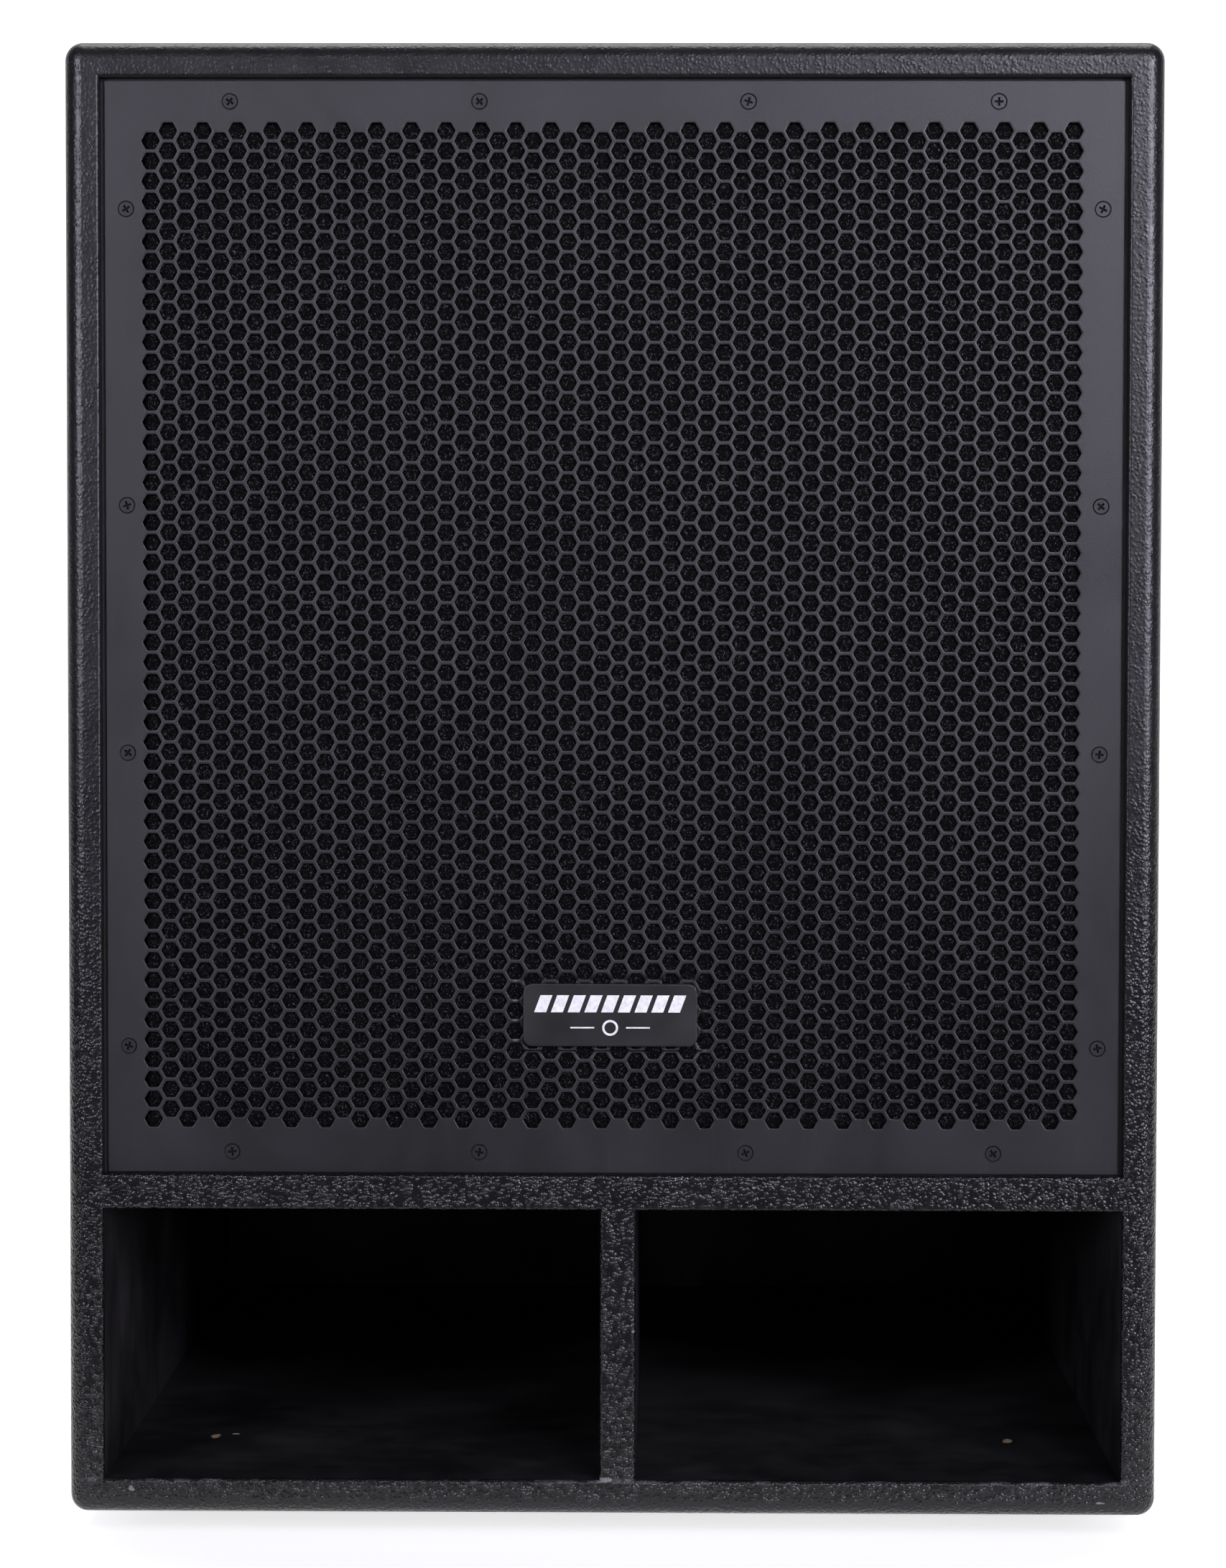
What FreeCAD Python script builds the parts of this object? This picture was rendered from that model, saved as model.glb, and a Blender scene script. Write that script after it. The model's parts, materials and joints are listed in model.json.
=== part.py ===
"""Passive 18 inch bass-reflex subwoofer cabinet, with its woofer, ports, grille and fittings.

Frame: +X to the listener's left-to-right as the cabinet is faced, +Y from the grille to the rear,
+Z up. The origin is on the floor, under the middle of the cabinet. Millimetres.
"""

import FreeCAD, Part

import math
import os

import Sketcher

V = FreeCAD.Vector
DOC = FreeCAD.newDocument("SubwooferCabinet")
SHEET = DOC.addObject("Spreadsheet::Sheet", "Dims")
NODES = []

DIMENSIONS = [
    # Box
    ("cabinet_width", 548, "outside width"),
    ("cabinet_height", 739, "outside height without feet"),
    ("cabinet_depth", 600, "outside depth"),
    ("board", 18, "plywood thickness"),
    ("edge_radius", 9, "round-over on the outer edges"),
    ("lip_radius", 2, "round-over on the front openings' edges"),
    ("foot_height", 15, "rubber foot height"),
    ("housing_depth", 6, "depth of the grooves that hold panel ends"),
    ("rear_rebate", 8, "width of the rebate around the rear panel"),
    ("port_height", 137, "clear height of the ports"),
    ("port_depth", 470, "length of the shelf above the ports"),
    ("divider_shift", 2.9, "port divider's offset to the right"),
    ("baffle_setback", 44, "baffle face behind the front edge"),
    ("brace_height", 306, "cross brace's underside above the bottom board"),
    ("brace_setback", 400, "cross brace behind the front edge"),
    ("brace_width", 60, "cross brace, front to back"),
    # Grille
    ("sheet_width", 508, "perforated sheet"),
    ("sheet_height", 546, "perforated sheet"),
    ("sheet_thickness", 1.5, "steel sheet"),
    ("sheet_lift", 0.6, "gap under the sheet"),
    ("grille_recess", 5, "sheet face behind the front edge"),
    ("batten_width", 20, "grille batten"),
    ("foam_thickness", 8, "acoustic foam behind the sheet"),
    ("foam_margin", 1, "foam clear of the battens"),
    ("screw_inner", 67, "inner screws of the top and bottom rows"),
    ("screw_outer", 191.5, "outer screws of the top and bottom rows"),
    ("screw_near", 62, "side screws next to the middle"),
    ("screw_far", 209.7, "side screws next to the corners"),
    ("screw_inset_row", 10, "screw row from the sheet's top or bottom edge"),
    ("screw_inset_side", 10.5, "screw column from the sheet's side edge"),
    ("badge_width", 87.5, "name plate"),
    ("badge_height", 31.6, "name plate"),
    ("badge_thickness", 2.2, "name plate"),
    ("badge_drop", 466.3, "name plate's middle below the sheet's top edge"),
    ("badge_shift", 1.1, "name plate's offset to the left"),
    ("badge_radius", 4.5, "name plate corner"),
    # Woofer, axial places measured back from the cabinet's front edge
    ("woofer_rise", 274, "woofer axis above the shelf's top face"),
    ("cutout_radius", 212, "woofer hole in the baffle"),
    ("flange_radius", 230, "basket flange"),
    ("flange_inner", 200, "basket flange"),
    ("flange_thickness", 8, "basket flange"),
    ("seal_thickness", 2, "foam seal under the flange"),
    ("bolt_circle", 220, "bolt circle radius"),
    ("bolt_hole", 3.3, "M6 clearance radius"),
    ("basket_back", 166, "rear face of the basket"),
    ("basket_back_radius", 106, "outer radius of the basket's rear ring"),
    ("spider_seat", 137, "ledge that carries the spider"),
    ("plate_thickness", 10, "top plate and back plate"),
    ("plate_radius", 96, "top plate"),
    ("gap_radius", 40, "inner radius of the top plate"),
    ("pole_radius", 37.4, "pole piece"),
    ("vent_radius", 12, "vent through the pole piece"),
    ("magnet_thickness", 25, "ferrite ring"),
    ("magnet_radius", 110, "ferrite ring"),
    ("magnet_inner", 60, "ferrite ring"),
    ("former_radius", 38, "voice coil former's inside"),
    ("former_wall", 0.4, "voice coil former"),
    ("winding_wall", 0.9, "voice coil winding"),
    ("winding_height", 20, "voice coil winding"),
    ("neck", 118, "where the cone meets the former"),
    ("cone_radius", 183, "outer edge of the cone"),
    ("paper", 1.2, "cone thickness"),
    ("cap_radius", 62, "dust cap"),
    ("cap_height", 17, "dust cap dome"),
    # Rear connector plate
    ("plate_rise", 405, "connector plate's middle above the bottom board's underside"),
    ("plate_width", 150, "connector plate"),
    ("plate_height", 100, "connector plate"),
    ("plate_gauge", 2, "connector plate"),
    ("plate_recess", 5, "connector plate's face below the rear panel's face"),
    ("plate_gasket", 1, "connector plate gasket"),
    ("plate_window_width", 120, "hole in the rear panel"),
    ("plate_window_height", 70, "hole in the rear panel"),
    ("socket_spacing", 56, "between the two sockets"),
    # Side handles
    ("handle_rise", 490, "handle's middle above the bottom board's underside"),
    ("handle_setback", 320, "handle's middle behind the front edge"),
    ("handle_length", 190, "handle flange"),
    ("handle_width", 130, "handle flange"),
    ("handle_flange", 3, "handle flange thickness"),
    ("dish_length", 160, "mouth of the handle dish"),
    ("dish_width", 100, "mouth of the handle dish"),
    ("dish_depth", 62, "depth of the handle dish"),
    ("dish_wall", 3, "wall of the handle dish"),
    ("dish_taper", 8, "draft of the handle dish, degrees"),
    ("grip_radius", 12, "grip bar"),
    ("grip_drop", 16, "grip bar's axis below the handle's face"),
    # Pole socket
    ("pole_bore", 18, "bore radius for a 35 mm pole"),
    ("pole_wall", 2, "tube wall"),
    ("pole_length", 92, "depth of the bore"),
    ("pole_flange", 48, "flange radius"),
    ("pole_flange_thickness", 3, "flange"),
    ("pole_screw_circle", 38, "screw circle radius"),
    # Feet
    ("foot_radius", 19, "rubber foot at the cabinet"),
    ("foot_tip", 16.5, "rubber foot at the floor"),
    ("foot_side", 64, "foot's middle from the cabinet's side"),
    ("foot_end", 104, "foot's middle from the front or rear edge"),
    ("foot_bore", 7.5, "recess for the washer and screw"),
    ("foot_bore_depth", 6, "recess for the washer and screw"),
    # Lining and wiring
    ("lining", 25, "polyester wadding thickness"),
    ("wire_radius", 2.2, "speaker wire"),
]


def fill_sheet():
    for row, (alias, value, note) in enumerate(DIMENSIONS, 1):
        SHEET.set(f"A{row}", str(value))
        SHEET.setAlias(f"A{row}", alias)
        SHEET.set(f"B{row}", note)
    DOC.recompute()


def dim(alias):
    """A driving dimension's value, for shapes that no expression can reach."""
    return float(SHEET.get(alias))


fill_sheet()

# Expressions that several pieces share
HALF_WIDTH = "Dims.cabinet_width / 2"
FRONT = "-Dims.cabinet_depth / 2"
REAR = "Dims.cabinet_depth / 2"
BASE = "Dims.foot_height"
TOP = "(Dims.foot_height + Dims.cabinet_height)"
INNER_HALF = "(Dims.cabinet_width / 2 - Dims.board)"
PORT_FLOOR = "(Dims.foot_height + Dims.board)"
SHELF = "(Dims.foot_height + Dims.board + Dims.port_height)"
SHELF_TOP = f"({SHELF} + Dims.board)"
CEILING = f"({TOP} - Dims.board)"
OPENING = f"({CEILING} - {SHELF_TOP})"
BAFFLE = f"({FRONT} + Dims.baffle_setback)"
SHEET_BACK = f"({FRONT} + Dims.grille_recess + Dims.sheet_thickness)"
SHEET_MIDDLE = f"({SHELF_TOP} + Dims.sheet_lift + Dims.sheet_height / 2)"
WOOFER_Z = f"({SHELF_TOP} + Dims.woofer_rise)"
PLATE_Z = "(Dims.foot_height + Dims.plate_rise)"
HANDLE_Y = f"({FRONT} + Dims.handle_setback)"
HANDLE_Z = "(Dims.foot_height + Dims.handle_rise)"
PLATE_FACE = f"({REAR} - Dims.plate_recess)"

# The same places as numbers, for Part::Feature shapes
FRONT_Y = -dim("cabinet_depth") / 2
REAR_Y = dim("cabinet_depth") / 2
TOP_Z = dim("foot_height") + dim("cabinet_height")
FLOOR_Z = dim("foot_height") + dim("board")
SHELF_TOP_Z = FLOOR_Z + dim("port_height") + dim("board")
CEILING_Z = TOP_Z - dim("board")
INNER_X = dim("cabinet_width") / 2 - dim("board")
SHEET_FACE_Y = FRONT_Y + dim("grille_recess")
SHEET_MIDDLE_Z = SHELF_TOP_Z + dim("sheet_lift") + dim("sheet_height") / 2
WOOFER_AXIS_Z = SHELF_TOP_Z + dim("woofer_rise")
PLATE_MIDDLE_Z = dim("foot_height") + dim("plate_rise")
PLATE_FACE_Y = REAR_Y - dim("plate_recess")
HANDLE_MIDDLE = V(0, FRONT_Y + dim("handle_setback"), dim("foot_height") + dim("handle_rise"))
FLANGE_FRONT = dim("baffle_setback") - dim("seal_thickness") - dim("flange_thickness")


# ---------------------------------------------------------------- helpers


def node(obj, label):
    """Marks obj as a sub-part whose file is label.step."""
    obj.Label = label
    NODES.append(obj)
    return obj


def bind(obj, **expressions):
    """Binds properties to expressions. Base_x stands for Placement.Base.x."""
    for name, expression in expressions.items():
        path = "Placement." + name.replace("_", ".") if name.startswith("Base_") else name
        obj.setExpression(path, expression)
    return obj


def block(name, x, y, z, length, width, height):
    """A box from its lowest corner and its sizes along X, Y and Z, all expressions."""
    made = DOC.addObject("Part::Box", name)
    return bind(made, Base_x=x, Base_y=y, Base_z=z, Length=length, Width=width, Height=height)


def rod(name, radius, height, x, y, z, axis=V(0, 0, 1)):
    """A cylinder from the middle of its starting face, along axis."""
    made = DOC.addObject("Part::Cylinder", name)
    made.Placement = FreeCAD.Placement(V(), FreeCAD.Rotation(V(0, 0, 1), axis))
    return bind(made, Radius=radius, Height=height, Base_x=x, Base_y=y, Base_z=z)


def cut(name, base, *tools):
    """base less every tool."""
    tool = tools[0]
    if len(tools) > 1:
        tool = DOC.addObject("Part::Compound", name + "_tools")
        tool.Links = list(tools)
    made = DOC.addObject("Part::Cut", name)
    made.Base, made.Tool = base, tool
    return made


def common(name, base, tool):
    made = DOC.addObject("Part::Common", name)
    made.Base, made.Tool = base, tool
    return made


def fuse(name, *shapes):
    made = DOC.addObject("Part::MultiFuse", name)
    made.Shapes = list(shapes)
    return made


def solid(label, shape):
    """A sub-part whose shape is set in code."""
    made = DOC.addObject("Part::Feature", label)
    made.Shape = shape
    return node(made, label)


def copies(label, shape, places):
    """One node that holds a copy of shape at every placement."""
    return solid(label, Part.makeCompound([shape.transformed(p.toMatrix()) for p in places]))


def plane_of(body, role):
    return next(f for f in body.Origin.OriginFeatures if f.Role == role)


def new_body(name):
    return DOC.addObject("PartDesign::Body", name)


def new_sketch(body, name, role="XY_Plane", offset=None):
    made = body.newObject("Sketcher::SketchObject", name)
    made.AttachmentSupport = [(plane_of(body, role), "")]
    made.MapMode = "FlatFace"
    if offset:
        made.setExpression("AttachmentOffset.Base.z", offset)
    return made


def outline(sketch, corners):
    """A closed outline of straight lines; each corner is a pair of positive expressions."""
    values = [(value_of(x), value_of(y)) for x, y in corners]
    count = len(corners)
    for i in range(count):
        start, end = values[i], values[(i + 1) % count]
        sketch.addGeometry(Part.LineSegment(V(*start, 0), V(*end, 0)), False)
    for i in range(count):
        sketch.addConstraint(Sketcher.Constraint("Coincident", i, 2, (i + 1) % count, 1))
    for i, (x, y) in enumerate(corners):
        for kind, expression, value in (("DistanceX", x, values[i][0]), ("DistanceY", y, values[i][1])):
            number = sketch.addConstraint(Sketcher.Constraint(kind, -1, 1, i, 1, value))
            if "Dims." in expression:
                sketch.setExpression(f"Constraints[{number}]", expression)


def value_of(expression):
    """The number that an expression stands for."""
    result = SHEET.evalExpression(expression)
    return float(getattr(result, "Value", result))


def centred_rectangle(sketch, width, height, radius=None):
    """A rectangle about the sketch's origin, with round corners where a radius is given."""
    w, h = value_of(width) / 2, value_of(height) / 2
    if radius is None:
        corners = [(-w, -h), (w, -h), (w, h), (-w, h)]
        for i in range(4):
            a, b = corners[i], corners[(i + 1) % 4]
            sketch.addGeometry(Part.LineSegment(V(*a, 0), V(*b, 0)), False)
        for i in range(4):
            sketch.addConstraint(Sketcher.Constraint("Coincident", i, 2, (i + 1) % 4, 1))
        for i, kind in enumerate(("Horizontal", "Vertical", "Horizontal", "Vertical")):
            sketch.addConstraint(Sketcher.Constraint(kind, i))
        sketch.addConstraint(Sketcher.Constraint("Symmetric", 0, 1, 1, 2, -1, 1))
        across = sketch.addConstraint(Sketcher.Constraint("DistanceX", 0, 1, 0, 2, 2 * w))
        up = sketch.addConstraint(Sketcher.Constraint("DistanceY", 1, 1, 1, 2, 2 * h))
    else:
        r = value_of(radius)
        for i, (sx, sy) in enumerate(((1, -1), (1, 1), (-1, 1), (-1, -1))):
            centre = V(sx * (w - r), sy * (h - r), 0)
            start = math.radians(-90 + 90 * i)
            arc = Part.ArcOfCircle(Part.Circle(centre, V(0, 0, 1), r), start, start + math.pi / 2)
            sketch.addGeometry(arc, False)
        for i in range(4):
            a, b = sketch.Geometry[i].EndPoint, sketch.Geometry[(i + 1) % 4].StartPoint
            sketch.addGeometry(Part.LineSegment(a, b), False)
        for i in range(4):
            sketch.addConstraint(Sketcher.Constraint("Tangent", i, 2, 4 + i, 1))
            sketch.addConstraint(Sketcher.Constraint("Tangent", 4 + i, 2, (i + 1) % 4, 1))
        for i in range(1, 4):
            sketch.addConstraint(Sketcher.Constraint("Equal", 0, i))
        sketch.addConstraint(Sketcher.Constraint("Symmetric", 0, 3, 2, 3, -1, 1))
        sketch.addConstraint(Sketcher.Constraint("Vertical", 4))
        round_ = sketch.addConstraint(Sketcher.Constraint("Radius", 0, r))
        sketch.setExpression(f"Constraints[{round_}]", radius)
        across = sketch.addConstraint(Sketcher.Constraint("DistanceX", 6, 1, 4, 1, 2 * w))
        up = sketch.addConstraint(Sketcher.Constraint("DistanceY", 7, 1, 5, 1, 2 * h))
    sketch.setExpression(f"Constraints[{across}]", width)
    sketch.setExpression(f"Constraints[{up}]", height)


def extrude(body, kind, name, sketch, length, taper=None, back=False):
    """A Pad or Pocket of a sketch."""
    made = body.newObject("PartDesign::" + kind, name)
    made.Profile = sketch
    made.Reversed = back
    made.setExpression("Length", length)
    if taper:
        made.setExpression("TaperAngle", taper)
    return made


def turned(name, corners, axis="V_Axis", role="XY_Plane"):
    """A PartDesign body turned from an outline of (radius, place along the axis)."""
    body = new_body(name)
    sketch = new_sketch(body, name + "_profile", role)
    outline(sketch, corners)
    made = body.newObject("PartDesign::Revolution", name + "_turning")
    made.Profile = sketch
    made.ReferenceAxis = (sketch, [axis])
    made.Angle = 360
    return body


def woofer_part(label, corners):
    """A ring or plate of the woofer: (radius, place behind the front edge)."""
    body = turned(label, corners)
    bind(body, Base_y=FRONT, Base_z=WOOFER_Z)
    return node(body, label)


# ---------------------------------------------------------------- box


def front_openings():
    """The ports and the grille opening on the front, as (left, bottom, width, height)."""
    port_right = "Dims.divider_shift + Dims.board / 2"
    port_left = "Dims.divider_shift - Dims.board / 2"
    return [
        (f"-{INNER_HALF}", PORT_FLOOR, f"{INNER_HALF} + {port_left}", "Dims.port_height"),
        (port_right, PORT_FLOOR, f"{INNER_HALF} - ({port_right})", "Dims.port_height"),
        (f"-{INNER_HALF}", SHELF_TOP, f"2 * {INNER_HALF}", OPENING),
    ]


def make_envelope():
    """The finished outside of the box: rounded outer edges, and openings with softened lips."""
    body = new_body("envelope")
    sketch = new_sketch(body, "envelope_plan", "XY_Plane")
    centred_rectangle(sketch, "Dims.cabinet_width", "Dims.cabinet_depth")
    pad = extrude(body, "Pad", "envelope_block", sketch, "Dims.cabinet_height")
    DOC.recompute()
    rounded = body.newObject("PartDesign::Fillet", "envelope_roundover")
    rounded.Base = (pad, ["Edge1"])
    rounded.UseAllEdges = True
    rounded.setExpression("Radius", "Dims.edge_radius")
    bind(body, Base_z=BASE)
    mouths = [
        block(f"front_opening_{i}", x, FRONT, z, width, "Dims.board", height)
        for i, (x, z, width, height) in enumerate(front_openings())
    ]
    pierced = cut("pierced_envelope", body, *mouths)
    DOC.recompute()
    lipped = DOC.addObject("Part::Fillet", "lipped_envelope")
    lipped.Base = pierced
    lipped.Edges = [(i, dim("lip_radius"), dim("lip_radius")) for i in lip_edges(pierced.Shape)]
    return lipped


def lip_edges(shape):
    """Numbers of the straight edges where the openings meet the box's front face."""
    return [
        i for i, edge in enumerate(shape.Edges, 1)
        if abs(edge.BoundBox.YMin - FRONT_Y) < 1e-4 and abs(edge.BoundBox.YMax - FRONT_Y) < 1e-4
        and max(abs(v.X) for v in edge.Vertexes) < INNER_X + 1
        and all(FLOOR_Z - 1 < v.Z < CEILING_Z + 1 for v in edge.Vertexes)
    ]


def rear_rebate_blocks():
    """The space that the rear panel fills."""
    lap = "Dims.rear_rebate"
    return block(
        "rear_space",
        f"-{INNER_HALF} - {lap}",
        f"{REAR} - Dims.board",
        f"{PORT_FLOOR} - {lap}",
        f"2 * ({INNER_HALF} + {lap})",
        "Dims.board",
        f"Dims.cabinet_height - 2 * Dims.board + 2 * {lap}",
    )


def make_side_panels(envelope, rear_space, dish_space):
    """Full-height sides, housed for the top, bottom and shelf and rebated for the rear panel."""
    for side, name in ((-1, "left"), (1, "right")):
        x = f"-{HALF_WIDTH}" if side < 0 else f"{HALF_WIDTH} - Dims.board"
        groove_x = f"-{INNER_HALF} - Dims.housing_depth" if side < 0 else INNER_HALF
        blank = block(f"side_blank_{name}", x, FRONT, BASE, "Dims.board", "Dims.cabinet_depth",
                      "Dims.cabinet_height")
        grooves = [
            block(f"{end}_groove_{name}", groove_x, FRONT, z, "Dims.housing_depth", length, "Dims.board")
            for end, z, length in (
                ("top", CEILING, "Dims.cabinet_depth"),
                ("bottom", BASE, "Dims.cabinet_depth"),
                ("shelf", SHELF, "Dims.port_depth"),
            )
        ]
        rounded = common(f"side_rounded_{name}", blank, envelope)
        panel = cut(f"side_panel_{name}", rounded, *grooves, rear_space, dish_space[name])
        node(panel, f"side_panel_{name}")


def make_top_and_bottom(envelope, rear_space, pole_space, foot_holes):
    width = f"2 * ({INNER_HALF} + Dims.housing_depth)"
    x = f"-{INNER_HALF} - Dims.housing_depth"
    for name, z, holes in (("top", CEILING, pole_space), ("bottom", BASE, foot_holes)):
        blank = block(f"{name}_blank", x, FRONT, z, width, "Dims.cabinet_depth", "Dims.board")
        rounded = common(f"{name}_rounded", blank, envelope)
        node(cut(f"{name}_panel", rounded, rear_space, *holes), f"{name}_panel")


def make_rear_panel(envelope, plate_space):
    lap = "Dims.rear_rebate"
    blank = block("rear_blank", f"-{INNER_HALF} - {lap}", f"{REAR} - Dims.board", f"{PORT_FLOOR} - {lap}",
                  f"2 * ({INNER_HALF} + {lap})", "Dims.board",
                  f"Dims.cabinet_height - 2 * Dims.board + 2 * {lap}")
    node(cut("rear_panel", common("rear_trimmed", blank, envelope), *plate_space), "rear_panel")


def make_ports(envelope):
    """The shelf that closes the ports above, and the divider between them."""
    shelf = block("shelf_blank", f"-{INNER_HALF} - Dims.housing_depth", FRONT, SHELF,
                  f"2 * ({INNER_HALF} + Dims.housing_depth)", "Dims.port_depth", "Dims.board")
    node(common("port_shelf", shelf, envelope), "port_shelf")
    divider = block("divider_blank", "Dims.divider_shift - Dims.board / 2", FRONT, PORT_FLOOR,
                    "Dims.board", "Dims.port_depth", "Dims.port_height")
    node(common("port_divider", divider, envelope), "port_divider")


def make_brace():
    brace = block("cross_brace", f"-{INNER_HALF}", f"{FRONT} + Dims.brace_setback",
                  f"{BASE} + Dims.brace_height", f"2 * {INNER_HALF}", "Dims.brace_width", "Dims.board")
    node(brace, "cross_brace")


# ---------------------------------------------------------------- grille


def grille_screw_spots():
    """Places of the sixteen grille screws on the sheet, as (x, z)."""
    row = dim("sheet_height") / 2 - dim("screw_inset_row")
    column = dim("sheet_width") / 2 - dim("screw_inset_side")
    rows = [
        (sx * x, SHEET_MIDDLE_Z + sz * row)
        for sx in (-1, 1) for x in (dim("screw_inner"), dim("screw_outer")) for sz in (-1, 1)
    ]
    columns = [
        (sx * column, SHEET_MIDDLE_Z + sz * z)
        for sx in (-1, 1) for z in (dim("screw_near"), dim("screw_far")) for sz in (-1, 1)
    ]
    return rows + columns


def grille_screw_tools(name):
    """The wood that the grille screws displace: pilots with a short countersink."""
    back = dim("sheet_thickness") - SCREW_SINK
    mouth = SCREW_HEAD - back
    spots = [(x, SHEET_FACE_Y + dim("sheet_thickness"), z) for x, z in grille_screw_spots()]
    pilots = pattern(name + "_bores", "Cylinder", spots, Radius=SCREW_SHANK, Height=SCREW_LENGTH)
    mouths = pattern(name + "_mouths", "Cone", spots, Radius1=mouth, Radius2=SCREW_SHANK,
                     Height=mouth - SCREW_SHANK)
    return [pilots, mouths]


def pattern(name, kind, spots, **sizes):
    """A compound of holes or cones that point along +Y from each (x, y, z)."""
    made = DOC.addObject("Part::Compound", name)
    links = []
    for i, spot in enumerate(spots):
        tool = DOC.addObject("Part::" + kind, f"{name}_{i}")
        tool.Placement = FreeCAD.Placement(V(*spot), FreeCAD.Rotation(V(0, 0, 1), V(0, 1, 0)))
        for key, value in sizes.items():
            setattr(tool, key, value)
        links.append(tool)
    made.Links = links
    return made


SCREW_HEAD = 3.5
SCREW_SHANK = 1.75
SCREW_LENGTH = 22
SCREW_SINK = 0.15


def countersunk_screw(head, shank, length, recess_span):
    """A countersunk cross-head screw along +Y, with its face at the origin."""
    depth = head - shank
    cone = Part.makeCone(head, shank, depth, V(), V(0, 1, 0))
    stem = Part.makeCylinder(shank, length - depth - shank, V(0, depth, 0), V(0, 1, 0))
    tip = Part.makeCone(shank, 0.2, shank, V(0, length - shank, 0), V(0, 1, 0))
    screw = cone.fuse([stem, tip]).removeSplitter()
    slot_width = recess_span / 3.8
    for width, height in ((recess_span, slot_width), (slot_width, recess_span)):
        slot = Part.makeBox(width, depth * 0.6, height, V(-width / 2, 0, -height / 2))
        screw = screw.cut(slot)
    return screw


def pan_screw(head, head_height, shank, length, recess_span):
    """A pan-head cross screw along -Z, with the underside of its head at the origin."""
    body = Part.makeCylinder(head, head_height)
    rim = [e for e in body.Edges if abs(e.CenterOfMass.z - head_height) < 1e-6 and e.Closed]
    body = body.makeFillet(head_height * 0.45, rim)
    screw = body.fuse(Part.makeCylinder(shank, length, V(0, 0, -length))).removeSplitter()
    slot_width = recess_span / 4.5
    for width, depth in ((recess_span, slot_width), (slot_width, recess_span)):
        screw = screw.cut(Part.makeBox(width, depth, head_height * 0.6,
                                       V(-width / 2, -depth / 2, head_height * 0.4)))
    return screw


def make_grille():
    spots = grille_screw_spots()
    depth = dim("sheet_thickness")
    clear = 0.4
    sheet = block("grille_blank", "-Dims.sheet_width / 2", f"{FRONT} + Dims.grille_recess",
                  f"{SHELF_TOP} + Dims.sheet_lift", "Dims.sheet_width", "Dims.sheet_thickness",
                  "Dims.sheet_height")
    sinks = pattern("grille_sinks", "Cone", [(x, SHEET_FACE_Y, z) for x, z in spots],
                    Radius1=SCREW_HEAD + clear, Radius2=SCREW_HEAD + clear - depth, Height=depth)
    node(cut("grille_sheet", sheet, sinks), "grille_sheet")

    foam_half = f"({INNER_HALF} - Dims.batten_width - Dims.foam_margin)"
    edge = "(Dims.batten_width + Dims.foam_margin)"
    foam = block("grille_foam", f"-{foam_half}", SHEET_BACK, f"{SHELF_TOP} + {edge}",
                 f"2 * {foam_half}", "Dims.foam_thickness", f"{OPENING} - 2 * {edge}")
    node(foam, "grille_foam")

    turns = [(i * 37 + 11) % 90 for i in range(len(spots))]
    places = [
        FreeCAD.Placement(V(x, SHEET_FACE_Y + SCREW_SINK, z), FreeCAD.Rotation(V(0, 1, 0), turn))
        for (x, z), turn in zip(spots, turns)
    ]
    copies("grille_screws", countersunk_screw(SCREW_HEAD, SCREW_SHANK, SCREW_LENGTH, 4.3), places)


def make_battens():
    """Four battens between the grille and the baffle; the grille screws bite into them."""
    length = f"({BAFFLE} - {SHEET_BACK})"
    w = "Dims.batten_width"
    holes = grille_screw_tools("batten_pilots")
    spans = {
        "left": (f"-{INNER_HALF}", SHELF_TOP, w, OPENING),
        "right": (f"{INNER_HALF} - {w}", SHELF_TOP, w, OPENING),
        "bottom": (f"-{INNER_HALF} + {w}", SHELF_TOP, f"2 * ({INNER_HALF} - {w})", w),
        "top": (f"-{INNER_HALF} + {w}", f"{CEILING} - {w}", f"2 * ({INNER_HALF} - {w})", w),
    }
    for name, (x, z, width, height) in spans.items():
        bar = block(f"batten_blank_{name}", x, SHEET_BACK, z, width, length, height)
        node(cut(f"grille_batten_{name}", bar, *holes), f"grille_batten_{name}")


def make_badge():
    """A blank name plate, standing on the grille."""
    body = new_body("badge")
    sketch = new_sketch(body, "badge_outline", "XZ_Plane")
    centred_rectangle(sketch, "Dims.badge_width", "Dims.badge_height", "Dims.badge_radius")
    extrude(body, "Pad", "badge_plate", sketch, "Dims.badge_thickness")
    bind(body, Base_x="-Dims.badge_shift", Base_y=f"{FRONT} + Dims.grille_recess",
         Base_z=f"{SHEET_MIDDLE} + Dims.sheet_height / 2 - Dims.badge_drop")
    node(body, "badge")


# ---------------------------------------------------------------- woofer


def make_baffle():
    panel = block("baffle_blank", f"-{INNER_HALF}", BAFFLE, SHELF_TOP, f"2 * {INNER_HALF}",
                  "Dims.board", OPENING)
    hole = rod("baffle_hole", "Dims.cutout_radius", "Dims.board", "0", BAFFLE, WOOFER_Z, V(0, 1, 0))
    spots = [(x, FRONT_Y + dim("baffle_setback"), z) for x, z in woofer_bolt_spots()]
    bolts = pattern("baffle_bolt_holes", "Cylinder", spots, Radius=TEE_BARREL, Height=dim("board"))
    node(cut("front_baffle", panel, hole, bolts), "front_baffle")


BOLTS = 8
TEE_BARREL = 4.2


def woofer_bolt_spots():
    """Bolt places in line with the basket's spokes, as (x, z)."""
    r = dim("bolt_circle")
    angles = [math.pi / BOLTS * (1 + 2 * i) for i in range(BOLTS)]
    return [(r * math.cos(a), WOOFER_AXIS_Z + r * math.sin(a)) for a in angles]


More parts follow.
